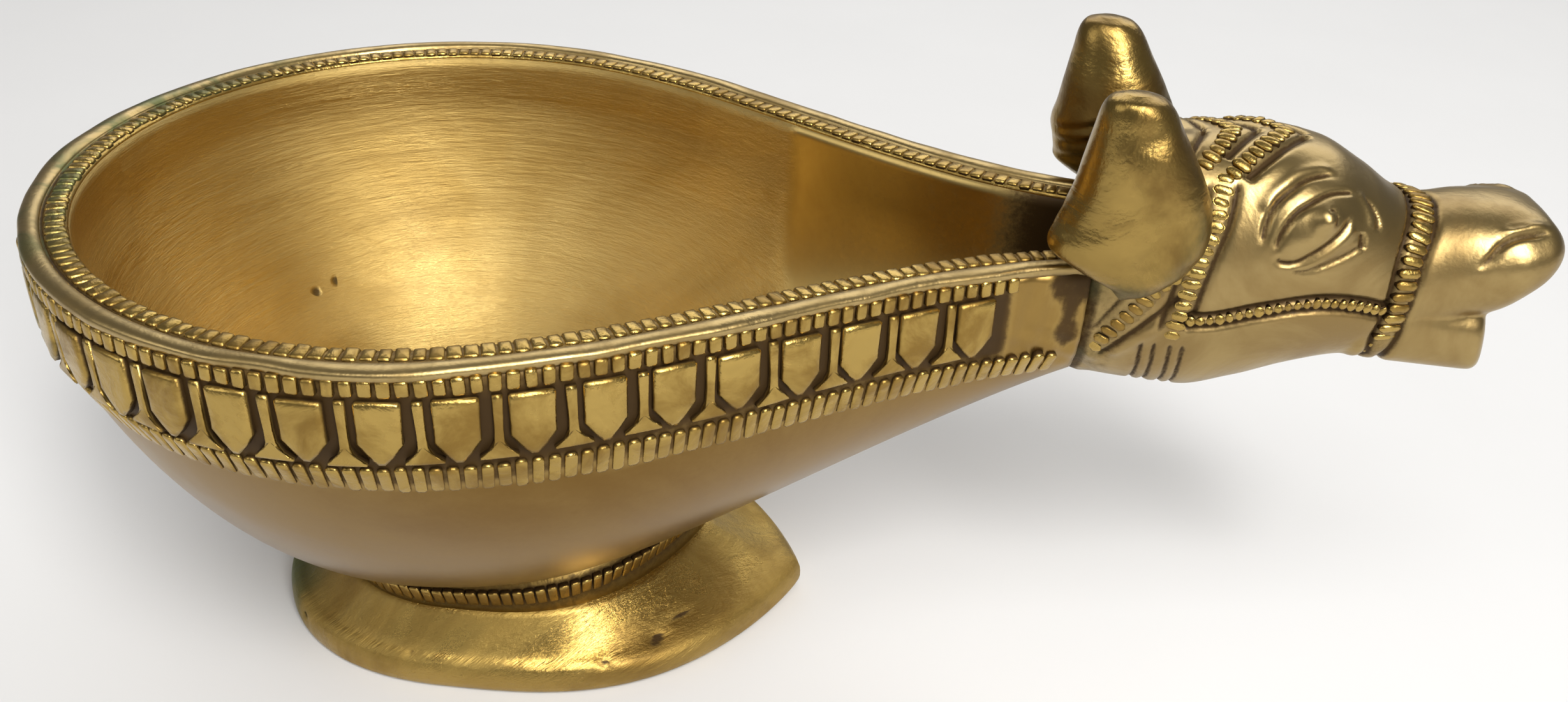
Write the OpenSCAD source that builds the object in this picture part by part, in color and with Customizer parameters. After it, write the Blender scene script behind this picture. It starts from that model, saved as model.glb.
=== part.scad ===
// Cast brass oil lamp (diya): a pear-shaped bowl on a spreading leaf-shaped foot. The bowl
// narrows into an open channel that ends in a horned cow's head with a beaded headstall.
// +X runs from the bowl to the head, +Y is the lamp's left side and +Z is up. The origin is
// on the table, under the middle of the whole length. Sizes are in millimetres.

/* [Bowl] */
// Radius of the round opening, inside the rim
bowl_r = 32; // [26:0.5:40]
// Thickness of the cast wall
wall = 3.5; // [2.5:0.1:5]
// Height of the rim above the table
rim_h = 47.2; // [42:0.2:60]
// Height of the straight wall under the rim, above the round belly
straight_h = 6.2; // [4:0.1:9]
// Height of the belly's lowest point above the table
belly_low = 6; // [5:0.2:9]
// Distance from the bowl's axis to the end of the open channel
channel_reach = 60; // [54:1:75]
// Half width of the channel where it meets the head
channel_half = 5.5; // [4:0.1:7]
// Angle, from the head, where the round rim turns into the channel
turn_deg = 75; // [68:1:84]
// Distance from the bowl's axis to where the underside starts to rise towards the head
keel_turn = 13; // [8:0.2:16]

/* [Rim and bands] */
// Width of the milled strip on top of the rim, from its inner edge
milled_w = 1.9; // [1:0.1:2.4]
// How far the smooth lip stands out from the wall
lip_out = 0.6; // [0.4:0.1:1.6]
// Height of the milled strip and the lip above the top of the wall
lip_h = 0.9; // [0.6:0.1:1.6]
// Height of the upper milled band
upper_band_h = 1.4; // [1:0.1:2.5]
// Height of the row of shield panels
panel_h = 5.6; // [4:0.1:7]
// Distance from one shield panel to the next
panel_pitch = 5.6; // [4.5:0.1:8]
// Width of the groove between two panels
panel_gap = 1.5; // [0.8:0.1:2.5]
// Height of the lower milled band
lower_band_h = 2.9; // [1.5:0.1:4]
// Plain strip left between the upper milled band and the panels
band_gap = 0.5; // [0.2:0.1:1]
// Plain strip left between the panels and the lower milled band
panel_foot_gap = 0.8; // [0.2:0.1:1.4]
// How far the bands and panels stand out of the wall
relief = 0.7; // [0.4:0.1:1.2]

/* [Foot] */
// Half width of the foot
foot_half = 20.8; // [17:0.2:28]
// Reach of the foot's blunt point, from the bowl's axis
foot_point = 36; // [30:0.5:44]
// Reach of the foot's round back, from the bowl's axis
foot_back = 19.4; // [17:0.2:27]
// Height of the foot's rounded edge
foot_edge_h = 3.4; // [2.5:0.1:5]
// Height at which the foot meets its collar
foot_h = 7.4; // [6:0.1:9]
// How far the foot's edge reaches out past the collar at the sides
foot_flare = 3.4; // [2.5:0.1:6]
// Width of the flat ring that the foot stands on
foot_ring = 4.5; // [3:0.1:7]
// Thickness of the collar's wall
collar_wall = 3; // [2:0.1:4]

/* [Head] */
// Length of the head, from the end of the channel to the tip of the muzzle
head_l = 41.6; // [36:0.2:51]
// Half width of the head across its cheeks
head_half = 9.2; // [8:0.1:11]
// How far the middle of the head's back lies below the rim
head_drop = 3.2; // [2:0.1:5]
// Half height of the head's back
head_tall = 12; // [10:0.2:14]
// Depth of the hollow in the back of the head
hollow_deep = 8; // [5:0.5:12]
// Height of the horn tips above the rim
horn_rise = 15.9; // [13:0.2:20]
// Distance of each horn tip from the middle plane
horn_spread = 11; // [9:0.2:14]

/* [Headstall] */
// Width of the beaded straps
strap_w = 2.2; // [1.4:0.1:3]
// Thickness of the straps
strap_t = 0.8; // [0.5:0.1:1.2]
// How deep the raised details are let into the head
seat = 0.2; // [0.1:0.05:0.4]

/* [Hidden] */
brass = "#b5913a";
brass_light = "#c9a54c";
brass_dark = "#8f7130";

arc_steps = 28;
neck_steps = 22;
belly_rows = 9;
foot_steps = 22;

belly_r = bowl_r + wall;
belly_z = rim_h - straight_h;
back_reach = belly_r + lip_out;
head_reach = channel_reach + head_l;
middle_x = (head_reach - back_reach) / 2;
head_mid_h = rim_h - head_drop;
mirror_y = [0, 1, 0];
// Small roundings of the edges, and how far a face lies inside the one it is cast on
edge = 0.2;
root = 0.01;

// Heights of the bands, from the rim down
upper_top = rim_h - lip_h;
upper_low = upper_top - upper_band_h;
panel_top = upper_low - band_gap;
panel_low = panel_top - panel_h;
lower_top = panel_low - panel_foot_gap;
lower_low = lower_top - lower_band_h;

// ---- Solids from rows of points ----

// Two triangles for each cell between two neighbouring rows of points
function cell(a, b, c, d) = [[a, b, d], [a, d, c]];

// A solid lofted through rings of points. Its ends get flat caps, or meet if it is a loop.
module loft(rings, loop = false) {
    n = len(rings);
    m = len(rings[0]);
    turns = loop ? n - 1 : n - 2;
    sides = [for (i = [0:turns]) for (j = [0:m - 1])
        each cell(i * m + j, i * m + (j + 1) % m,
                  ((i + 1) % n) * m + j, ((i + 1) % n) * m + (j + 1) % m)];
    caps = loop ? [] : [for (j = [1:m - 2]) each
        [[0, j + 1, j], [(n - 1) * m, (n - 1) * m + j, (n - 1) * m + j + 1]]];
    polyhedron([for (ring = rings) each ring], concat(sides, caps));
}

// A thin raised patch: outer and inner are grids of the same size, row by row
module patch(outer, inner) {
    loft([for (i = [0:len(outer) - 1])
        concat(outer[i], [for (j = [len(inner[i]) - 1:-1:0]) inner[i][j]])]);
}

module in_place() {
    translate([-middle_x, 0, 0]) children();
}

function mix(a, b, k) = a * (1 - k) + b * k;
function ease(k) = k * k * (3 - 2 * k);
function unit(v) = v / norm(v);

// ---- Plan of the rim ----

turn_x = bowl_r * cos(turn_deg);
turn_y = bowl_r * sin(turn_deg);
neck_l = channel_reach - turn_x;
turn_slope = -1 / tan(turn_deg);
end_slope = -0.14;

// Half width of the opening along the channel, and its slope, for k from 0 to 1
function neck_y(k) =
    (2 * k * k * k - 3 * k * k + 1) * turn_y + (k * k * k - 2 * k * k + k) * neck_l * turn_slope
    + (3 * k * k - 2 * k * k * k) * channel_half + (k * k * k - k * k) * neck_l * end_slope;
function neck_slope(k) =
    ((6 * k * k - 6 * k) * (turn_y - channel_half)) / neck_l
    + (3 * k * k - 4 * k + 1) * turn_slope + (3 * k * k - 2 * k) * end_slope;
// The wall turns square to the head in the last part of the channel
function neck_normal(k) = unit([-neck_slope(k) * (1 - pow(k, 6)), 1]);

// One place on the left half of the rim, for u from 0 at the back to 1 at the head:
// [x, y, the outward normal's x and y]
arc_part = arc_steps / (arc_steps + neck_steps);
function half_rim(u) = u <= arc_part
    ? let(a = 180 - (180 - turn_deg) * u / arc_part)
      [bowl_r * cos(a), bowl_r * sin(a), cos(a), sin(a)]
    : let(k = (u - arc_part) / (1 - arc_part), n = neck_normal(k))
      [turn_x + neck_l * k, neck_y(k), n[0], n[1]];
// The whole rim, for s from -1 at the head on the right side, past 0 at the back, to 1
function rim_at(s) = let(h = half_rim(abs(s)), side = s < 0 ? -1 : 1)
    [h[0], side * h[1], h[2], side * h[3]];

// ---- Outline of the head ----

head_x0 = channel_reach;
ring_n = 28;
// The head's back is a little narrower than the outside of the channel that it closes, and the
// first stations, beside the ears, swell out from it
back_inset = 0.72;
back_share = (channel_half + wall - back_inset) / head_half;
ear_share = back_share + 0.10;
cheek_width_share = back_share + 0.13;
// Stations along the head: [share of its length, top, bottom, half width], the heights being
// shares of the half height, from the middle of the head's back
stations = [
    [0.00, 0.92, -0.95, back_share], [0.12, 1.02, -0.98, ear_share],
    [0.25, 1.07, -1.00, cheek_width_share],
    [0.36, 1.12, -0.88, 1.03], [0.47, 1.06, -0.72, 0.98], [0.57, 0.89, -0.62, 0.88],
    [0.66, 0.69, -0.58, 0.76], [0.72, 0.66, -0.42, 0.70], [0.80, 0.71, -0.25, 0.72],
    [0.88, 0.72, -0.13, 0.73], [0.94, 0.68, 0.05, 0.66], [0.98, 0.58, 0.21, 0.48],
    [1.00, 0.44, 0.35, 0.12]];
function station(t) = let(
    i = max([for (k = [0:len(stations) - 2]) stations[k][0] <= t ? k : 0]),
    k = (t - stations[i][0]) / (stations[i + 1][0] - stations[i][0]))
    mix(stations[i], stations[i + 1], k);
function head_top(t) = head_mid_h + head_tall * station(t)[1];
function head_low(t) = head_mid_h + head_tall * station(t)[2];
section_power = 2.3;
radian = 180 / PI;
function power(v, e) = sign(v) * pow(abs(v), e);
// A point on the head: t along it, a round it from the left side (0) over the top (90)
function head_pt(t, a, out = 0) = let(
    top = head_top(t), low = head_low(t), half = head_half * station(t)[3],
    mid = (top + low) / 2, tall = (top - low) / 2, e = 2 / section_power)
    [head_x0 + head_l * t, (half + out) * power(cos(a), e), mid + (tall + out) * power(sin(a), e)];

// ---- Wall of the bowl and the channel ----

// Height of the underside's lowest line at x: level under the bowl, then a straight rise to
// the underside of the head, with a soft turn between the two
keel_bend = 7;
function soft_rise(x) = (x - keel_turn + sqrt(pow(x - keel_turn, 2) + keel_bend * keel_bend)) / 2;
keel_slope = (head_low(0) - belly_low) / soft_rise(channel_reach);
function keel_z(x) = belly_low + keel_slope * soft_rise(x);
function keel_x(c) = max(0, c[0]);

// The belly's profile: the share of its width left at a share u of its depth. It is nearly a
// cone under the round back and turns into an oval under the channel.
belly_turn = 24;
cone_power = 1.3;
cone_root = 0.37;
oval_power = 2;
oval_root = 0.5;
function belly_mix(x) = ease(min(1, max(0, x / belly_turn)));
function belly_power(x) = mix(cone_power, oval_power, belly_mix(x));
function belly_root(x) = mix(cone_root, oval_root, belly_mix(x));
function belly_share(x, u) = pow(max(0, 1 - pow(u, belly_power(x))), belly_root(x));
function belly_depth(x, share) = pow(1 - pow(share, 1 / belly_root(x)), 1 / belly_power(x));

// A point on the wall of column c, at height z, at an outward distance from the inner face
function wall_pt(c, z, out, floor_up = 0) =
    let(kx = keel_x(c), drop = max(0, belly_z - z), deep = belly_z - keel_z(kx) - floor_up,
        f = belly_share(kx, drop / deep),
        side = [c[0] + c[2] * out, c[1] + c[3] * out])
    [mix(kx, side[0], f), mix(0, side[1], f), z];

columns = [for (i = [-(arc_steps + neck_steps):arc_steps + neck_steps])
    rim_at(i / (arc_steps + neck_steps))];
last_col = len(columns) - 1;
mid_col = last_col / 2;

// ---- Bowl ----

// Rows of one face of the bowl, from the rim down to the keel
function face_rows(c, out, floor_up) =
    let(deep = belly_z - keel_z(keel_x(c)) - floor_up)
    concat([wall_pt(c, upper_top, out, floor_up)],
           [for (j = [0:belly_rows - 1])
               wall_pt(c, belly_z - deep * sin(90 * j / belly_rows), out, floor_up)]);

// The two halves share the points of the keel, and the whole round back shares one of them
module bowl_shell() {
    rows = belly_rows + 1;
    n = last_col + 1;
    keels = [for (i = [0:mid_col]) keel_x(columns[i])];
    shared = len([for (k = keels) if (k > 0) k]) + 1;
    outer_face = [for (c = columns) each face_rows(c, wall, 0)];
    inner_face = [for (c = columns) each face_rows(c, 0, wall)];
    outer_keel = [for (i = [0:shared - 1]) [keels[i], 0, keel_z(keels[i])]];
    inner_keel = [for (p = outer_keel) p + [0, 0, wall]];
    function keel_at(i) = min(min(i, last_col - i), shared - 1);
    function outer_id(i, j) = j < rows ? i * rows + j : 2 * n * rows + keel_at(i);
    function inner_id(i, j) = j < rows
        ? n * rows + i * rows + j : 2 * n * rows + shared + keel_at(i);
    faces = concat(
        [for (i = [0:last_col - 1]) for (j = [0:rows - 1]) each concat(
            cell(outer_id(i, j), outer_id(i + 1, j), outer_id(i, j + 1), outer_id(i + 1, j + 1)),
            cell(inner_id(i + 1, j), inner_id(i, j), inner_id(i + 1, j + 1), inner_id(i, j + 1)))],
        [for (i = [0:last_col - 1]) each
            cell(inner_id(i, 0), inner_id(i + 1, 0), outer_id(i, 0), outer_id(i + 1, 0))],
        [for (j = [0:rows - 1]) each concat(
            cell(inner_id(0, j), outer_id(0, j), inner_id(0, j + 1), outer_id(0, j + 1)),
            cell(outer_id(last_col, j), inner_id(last_col, j),
                 outer_id(last_col, j + 1), inner_id(last_col, j + 1)))]);
    polyhedron(concat(outer_face, inner_face, outer_keel, inner_keel),
        [for (f = faces) if (f[0] != f[1] && f[1] != f[2] && f[2] != f[0]) f]);
}

module bowl() {
    color(brass) in_place() bowl_shell();
}

// ---- Rim and bands: each follows the wall's own columns ----

// A band whose section is a list of [height, distance out from the inner face]
module band(section) {
    loft([for (c = columns) [for (p = section) wall_pt(c, p[0], p[1])]]);
}

module rim_milled_edge() {
    color(brass_light) in_place() band([
        [upper_top, milled_w], [rim_h - edge / 2, milled_w], [rim_h, milled_w - edge],
        [rim_h, edge], [rim_h - edge, 0], [upper_top, 0]]);
}

// The smooth lip has a half round outer edge
lip_steps = 6;
module rim_lip() {
    round_r = lip_h / 2;
    color(brass_light) in_place() band(concat(
        [for (k = [0:lip_steps]) let(a = -90 + 180 * k / lip_steps)
            [upper_top + round_r + round_r * sin(a), wall + lip_out - round_r + round_r * cos(a)]],
        [[rim_h - edge / 2, milled_w], [upper_top, milled_w]]));
}

module raised_band(low, top) {
    slant = min(edge, (top - low) / 4);
    band([[low, wall - root], [low + slant, wall + relief], [top - slant, wall + relief],
          [top, wall - root]]);
}

module upper_milled_band() {
    color(brass_dark) in_place() raised_band(upper_low, upper_top);
}

module lower_milled_band() {
    color(brass_dark) in_place() raised_band(lower_low, lower_top);
}

// Length along the outer wall to each column, so that the panels are evenly spread
run_steps = [for (i = [mid_col:last_col - 1])
    norm(wall_pt(columns[i + 1], belly_z, wall) - wall_pt(columns[i], belly_z, wall))];
runs = [for (i = 0, sum = 0; i <= len(run_steps); sum = sum + (i < len(run_steps)
    ? run_steps[i] : 0), i = i + 1) sum];
function at_length(d) = let(side = d < 0 ? -1 : 1, g = abs(d),
    i = max([for (k = [0:len(runs) - 2]) runs[k] <= g ? k : 0]),
    k = (g - runs[i]) / (runs[i + 1] - runs[i]))
    side * (i + k) / (arc_steps + neck_steps);

// Plain wall left between the last shield and the head, and where a shield's sides end
panel_end = 5;
shoulder_share = 0.34;
panel_pairs = floor((runs[len(runs) - 1] - panel_end) / panel_pitch);

// One shield: flat top, straight sides and a pointed foot
module panel(d) {
    half = (panel_pitch - panel_gap) / 2;
    shoulder = panel_low + panel_h * shoulder_share;
    function column(off) = rim_at(at_length(d + off));
    function row(out, bevel) = [
        wall_pt(column(-half + bevel), panel_top - bevel, out),
        wall_pt(column(-half + bevel), shoulder + bevel * 0.6, out),
        wall_pt(column(0), panel_low + bevel, out),
        wall_pt(column(half - bevel), shoulder + bevel * 0.6, out),
        wall_pt(column(half - bevel), panel_top - bevel, out)];
    loft([row(wall - seat, 0), row(wall + relief - edge, 0), row(wall + relief, edge)]);
}

module shield_panels() {
    color(brass_light) in_place()
        for (i = [-panel_pairs:panel_pairs]) panel(i * panel_pitch);
}

// ---- Foot ----

foot_mid = 2.5;
point_power = 2.9;
// Drawing the outline in by a distance moves its point back by more
point_inset = 1.3;
// Outline of the foot drawn in by a distance: a half oval at the back, a blunt point in front
back_root = 0.88;
function leaf(k, half, back, front) = k < 0.5
    ? let(a = 180 * k)
      [foot_mid - back * pow(cos(a), back_root), half * pow(sin(a), back_root)]
    : let(t = 2 * k - 1) [foot_mid + front * t, half * (1 - pow(t, point_power))];
function leaf_side(k, side, half, back, front) = let(p = leaf(k, half, back, front))
    [p[0], side * p[1]];
function foot_line(k, side, z, inset) = let(p = leaf_side(k, side, foot_half - inset,
    foot_back + foot_mid - inset, foot_point - foot_mid - inset * point_inset)) [p[0], p[1], z];

collar_half = foot_half - foot_flare;
// The flare is longer at the back, and longest under the point
collar_back = foot_back + foot_mid - foot_flare * 1.8;
collar_front = foot_point - foot_mid - foot_flare * 3;
function collar_line(k, side, z, inset) = let(p = leaf_side(k, side, collar_half - inset,
    collar_back - inset, collar_front - inset * point_inset)) [p[0], p[1], z];

// Places round the outline: back, left side, point, right side
around = concat([for (i = [0:foot_steps]) [i / foot_steps, 1]],
                [for (i = [1:foot_steps - 1]) [1 - i / foot_steps, -1]]);

// Height of the bowl's underside above a place on the table
function opening_half(x) = x < turn_x
    ? sqrt(max(0, bowl_r * bowl_r - x * x)) : neck_y((x - turn_x) / neck_l);
function belly_half(x) = opening_half(x) + wall * (x < turn_x
    ? 1 : sqrt(1 + pow(neck_slope((x - turn_x) / neck_l), 2)));
function belly_under(p) = let(x = max(0, p[0]),
    share = p[0] < 0 ? norm([p[0], p[1]]) / belly_r : abs(p[1]) / belly_half(x))
    belly_z - (belly_z - keel_z(x)) * belly_depth(x, share);
function on_belly(p) = [p[0], p[1], belly_under(p)];

flare_rows = 5;
flare_power = 1.7;
foot_round = 0.9;
module foot() {
    rise = foot_h - foot_edge_h;
    function flare_z(k) = foot_edge_h + rise * pow(k, flare_power);
    color(brass) in_place() loft([for (w = around) concat(
        [foot_line(w[0], w[1], 0, foot_round), foot_line(w[0], w[1], foot_round, 0),
         foot_line(w[0], w[1], foot_edge_h - foot_round, 0),
         foot_line(w[0], w[1], foot_edge_h, foot_round)],
        [for (r = [1:flare_rows]) let(k = r / flare_rows)
            mix(foot_line(w[0], w[1], flare_z(k), foot_round),
                collar_line(w[0], w[1], flare_z(k), 0), k)],
        [collar_line(w[0], w[1], foot_h, collar_wall),
         foot_line(w[0], w[1], 0, foot_ring)])], loop = true);
}

module foot_collar() {
    color(brass_dark) in_place() loft([for (w = around) let(
        out = on_belly(collar_line(w[0], w[1], 0, 0)),
        inn = on_belly(collar_line(w[0], w[1], 0, collar_wall)))
        [collar_line(w[0], w[1], foot_h, 0), out, inn,
         collar_line(w[0], w[1], foot_h, collar_wall)]], loop = true);
}

// ---- Head ----

function head_ring(t) = [for (j = [0:ring_n - 1]) head_pt(t, 360 * j / ring_n)];
function hollow_ring(x, half, low, top) = [for (j = [0:ring_n - 1]) let(a = 360 * j / ring_n,
    e = 2 / section_power)
    [x, half * power(cos(a), e), (top + low) / 2 + (top - low) / 2 * power(sin(a), e)]];

hollow_low = keel_z(channel_reach) + wall;
hollow_top = head_top(0) - wall;
head_steps = 34;
// The hollow's end is rounded: its last rings are drawn in towards the middle
hollow_round = 1.5;
module head() {
    back = head_x0 + hollow_deep;
    function drawn_in(x, inset) = hollow_ring(x, channel_half - inset, hollow_low + inset,
                                              hollow_top - inset);
    color(brass) in_place() loft(concat(
        [drawn_in(back, 2 * hollow_round), drawn_in(back - hollow_round, hollow_round / 2),
         drawn_in(head_x0, 0)],
        [for (i = [0:head_steps]) head_ring(i / head_steps)]));
}

// The jaw leaves the head behind the noseband and runs on below the muzzle
jaw_t0 = 0.68;
jaw_t1 = 0.88;
jaw_sink = 0.6;
jaw_steps = 8;
jaw_sides = 16;
jaw_shares = [0.68, 0.5];
module lower_jaw() {
    chin = head_low(jaw_t0 - 0.02);
    function jaw_ring(t, k) = let(low = chin + mix(edge, -jaw_sink, k),
        top = head_low(t) + jaw_sink, half = head_half * mix(jaw_shares[0], jaw_shares[1], k),
        tall = max(edge, (top - low) / 2), e = 2 / section_power)
        [for (j = [0:jaw_sides - 1]) let(a = 360 * j / jaw_sides)
            [head_x0 + head_l * t, half * power(cos(a), e),
             (top + low) / 2 + tall * power(sin(a), e)]];
    color(brass) in_place() loft([for (i = [0:jaw_steps]) let(k = i / jaw_steps)
        jaw_ring(mix(jaw_t0, jaw_t1, k), k)]);
}

// ---- Horns and ears ----

// A tapering limb: each stop is [x, y, z, half width in x, half width in y]
limb_sides = 16;
module limb(stops) {
    loft([for (s = stops) [for (j = [0:limb_sides - 1]) let(a = 360 * j / limb_sides)
        [s[0] + s[3] * cos(a), s[1] - s[4] * sin(a), s[2]]]]);
}

horn_steps = 10;
horn_base_h = head_mid_h + head_tall * 0.45;
horn_top = rim_h + horn_rise;
horn_x = head_x0 + 4;
horn_wide = 7;
horn_thick = 5;
horn_root = head_half * 0.75;
horn_lean = 3.6;
horn_tip_share = 0.5;
// The tip is blunt: the width closes only in the last steps, and the steps get shorter there
tip_power = 6;
tip_close = 0.9;
tip_crowd = 0.35;
module horn() {
    limb([for (i = [0:horn_steps]) let(k = i / horn_steps,
        slim = mix(1, horn_tip_share, k) * sqrt(1 - pow(k, tip_power) * tip_close),
        climb = mix(k, sin(90 * k), tip_crowd))
        [horn_x - horn_lean * k, mix(horn_root, horn_spread, k),
         mix(horn_base_h, horn_top, climb), horn_wide * slim, horn_thick * slim]]);
}

// The ear hangs from the horn's base beside the channel's end, leans back, and stands out a
// little more at its foot
ear_steps = 8;
ear_low = head_mid_h + head_tall * 0.05;
ear_top = horn_base_h + 1;
ear_wide = 6.4;
ear_thick = 2.4;
ear_lean = 1.5;
ear_clear = 1.4;
ear_out = 1.2;
module ear() {
    limb([for (i = [0:ear_steps]) let(k = i / ear_steps,
        full = sqrt(1 - pow(2 * k - 1, 2) * tip_close))
        [horn_x - ear_lean * (2 - k), channel_half + wall + ear_clear + ear_out * (1 - k),
         mix(ear_low, ear_top, k), ear_wide * full, ear_thick * full]]);
}

module horn_left() { color(brass_light) in_place() horn(); }
module horn_right() { color(brass_light) in_place() mirror(mirror_y) horn(); }
module ear_left() { color(brass) in_place() ear(); }
module ear_right() { color(brass) in_place() mirror(mirror_y) ear(); }

// ---- Raised details on the head ----

// A strap through places on the head, each [t, a], with its width along the head
strap_steps = 14;
// A strap is thinner along its two edges than between them
across = [-1, -0.5, 0.5, 1];
thin_share = 0.35;
function strap_out(w, out) = abs(w) == 1 && out > 0 ? out * thin_share : out;
module strap(places, width, thick) {
    half = width / 2 / head_l;
    function place(k) = let(n = len(places) - 1, i = min(n - 1, floor(k * n)))
        mix(places[i], places[i + 1], k * n - i);
    function row(k, out) = let(p = place(k))
        [for (w = across) head_pt(p[0] + w * half, p[1], strap_out(w, out))];
    patch([for (i = [0:strap_steps]) row(i / strap_steps, thick)],
          [for (i = [0:strap_steps]) row(i / strap_steps, -seat)]);
}

// A strap that runs along the head, with its width round it in degrees
module long_strap(t0, a0, t1, a1, width, thick) {
    function row(k, out) = let(t = mix(t0, t1, k), a = mix(a0, a1, k),
        half = width / 2 / (head_half * station(t)[3]) * radian)
        [for (w = across) head_pt(t, a - w * half, strap_out(w, out))];
    patch([for (i = [0:strap_steps]) row(i / strap_steps, thick)],
          [for (i = [0:strap_steps]) row(i / strap_steps, -seat)]);
}

// A round boss that swells to its middle
boss_rings = 5;
boss_sides = 16;
boss_last = 88;
module boss(t, a, wide, tall, thick) {
    function ring(r, out) = [for (j = [0:boss_sides - 1]) let(q = 360 * j / boss_sides)
        head_pt(t + wide * r * cos(q) / head_l, a + tall * r * sin(q) / head_half * radian, out)];
    loft(concat([ring(1, -seat)],
        [for (i = [0:boss_rings]) let(q = boss_last * i / boss_rings)
            ring(cos(q), thick * sin(q))]));
}

// Where the eye and the tuft between the horns sit: [t, a, half length, half height, thickness]
eye_place = [0.445, 36, 4.6, 3.2, 1];
tuft_place = [0.21, 90, 2.8, 3.4, 1];
module boss_at(p) { boss(p[0], p[1], p[2], p[3], p[4]); }

module eye() { boss_at(eye_place); }
module eye_left() { color(brass_light) in_place() eye(); }
module eye_right() { color(brass_light) in_place() mirror(mirror_y) eye(); }

module poll_tuft() {
    color(brass) in_place() boss_at(tuft_place);
}

// The two brow bands are chevrons that point forward from the cheekpieces to the forehead.
// Each has the place of its ends, [t, a], and the t of its point.
rear_ends = [0.22, 58];
rear_point = 0.32;
front_ends = [0.26, 52];
front_point = 0.41;
shoulder_a = 72;
module chevron(ends, point) {
    t_high = mix(ends[0], point, 0.55);
    strap([ends, [t_high, shoulder_a], [point, 90], [t_high, 180 - shoulder_a],
           [ends[0], 180 - ends[1]]], strap_w, strap_t);
}

module brow_band_rear() { color(brass_light) in_place() chevron(rear_ends, rear_point); }
module brow_band_front() { color(brass_light) in_place() chevron(front_ends, front_point); }

// The noseband is a ring that slants forward at the top
nose_t = 0.665;
nose_slant = 0.035;
nose_steps = 32;
module noseband() {
    section = [[-1, -seat], [-1, strap_t * thin_share], [-0.5, strap_t], [0.5, strap_t],
               [1, strap_t * thin_share], [1, -seat]];
    color(brass_light) in_place() loft([for (i = [0:nose_steps - 1])
        let(a = 360 * i / nose_steps, t = nose_t + nose_slant * sin(a))
        [for (w = section) head_pt(t + w[0] * strap_w / 2 / head_l, a, w[1])]], loop = true);
}

// The cheek strap runs below the eye from the cheekpiece to the noseband
cheek_t0 = 0.235;
cheek_t1 = 0.62;
cheek_a = -6;
cheek_share = 0.65;
module cheek_strap() {
    long_strap(cheek_t0, cheek_a, cheek_t1, cheek_a, strap_w * cheek_share, strap_t);
}

cheekpiece_line = [[0.23, 50], [0.225, 30], [0.20, 12], [0.195, -12]];
module cheekpiece() {
    strap(cheekpiece_line, strap_w, strap_t);
}

module cheek_strap_left() { color(brass_light) in_place() cheek_strap(); }
module cheek_strap_right() { color(brass_light) in_place() mirror(mirror_y) cheek_strap(); }
module cheekpiece_left() { color(brass_light) in_place() cheekpiece(); }
module cheekpiece_right() { color(brass_light) in_place() mirror(mirror_y) cheekpiece(); }

// The beaded collar slants back under the neck from cheek to cheek
collar_places = [[0.15, 8], [0.11, -6], [0.07, -22], [0.05, -90], [0.07, -158], [0.11, -174],
                 [0.15, -188]];
module neck_collar() {
    color(brass_light) in_place() strap(collar_places, strap_w, strap_t);
}

// Two narrow straps lie side by side under the throat, from cheek to cheek
throat_rear = 0.15;
throat_front = 0.21;
throat_share = 0.5;
throat_line = [[0, -20], [0.02, -52], [0.03, -90], [0.02, -128], [0, -160]];
module throat_straps() {
    color(brass_light) in_place() {
        for (t = [throat_rear, throat_front])
            strap([for (p = throat_line) [t + p[0], p[1]]], strap_w * throat_share, strap_t);
    }
}

bowl();
rim_milled_edge();
rim_lip();
upper_milled_band();
shield_panels();
lower_milled_band();
foot_collar();
foot();
head();
lower_jaw();
horn_left();
horn_right();
ear_left();
ear_right();
eye_left();
eye_right();
poll_tuft();
brow_band_rear();
brow_band_front();
noseband();
cheek_strap_left();
cheek_strap_right();
cheekpiece_left();
cheekpiece_right();
neck_collar();
throat_straps();
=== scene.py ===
# %% [markdown]
# # A cast brass oil lamp with a cow's head
#
# The lamp is a pear-shaped bowl on a spreading foot. The bowl narrows into an open channel,
# and the channel ends in a horned cow's head that serves as the handle. A founder casts the
# bowl, the foot and the head, brazes them together, turns the inside of the bowl on a lathe,
# and then mills, punches and files the bands by hand.
#
# The plain solids of the lamp come first, as a fixed frame. Each of them is then replaced by
# a finer piece that keeps to the same sizes.

import math

import bmesh
import bpy
import numpy as np
from mathutils import Matrix, Vector


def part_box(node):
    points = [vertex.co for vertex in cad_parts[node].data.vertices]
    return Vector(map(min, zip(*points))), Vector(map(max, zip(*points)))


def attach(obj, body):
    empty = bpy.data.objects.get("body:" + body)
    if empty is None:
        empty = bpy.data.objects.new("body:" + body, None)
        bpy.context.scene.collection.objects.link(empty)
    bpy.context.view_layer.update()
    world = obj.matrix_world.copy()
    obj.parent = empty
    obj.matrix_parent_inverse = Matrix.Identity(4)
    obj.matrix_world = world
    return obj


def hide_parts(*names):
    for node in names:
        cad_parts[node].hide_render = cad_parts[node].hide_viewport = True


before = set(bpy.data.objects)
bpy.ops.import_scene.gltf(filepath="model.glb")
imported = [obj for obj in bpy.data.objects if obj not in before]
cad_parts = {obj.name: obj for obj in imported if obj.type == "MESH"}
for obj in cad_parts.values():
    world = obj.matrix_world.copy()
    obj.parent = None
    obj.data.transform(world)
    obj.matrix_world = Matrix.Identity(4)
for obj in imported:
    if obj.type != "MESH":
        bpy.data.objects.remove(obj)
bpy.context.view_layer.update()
MM = 0.001


def box_mm(node):
    """The lowest and highest corner of a plain solid, in millimetres."""
    low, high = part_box(node)
    return np.array(low) / MM, np.array(high) / MM


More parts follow.
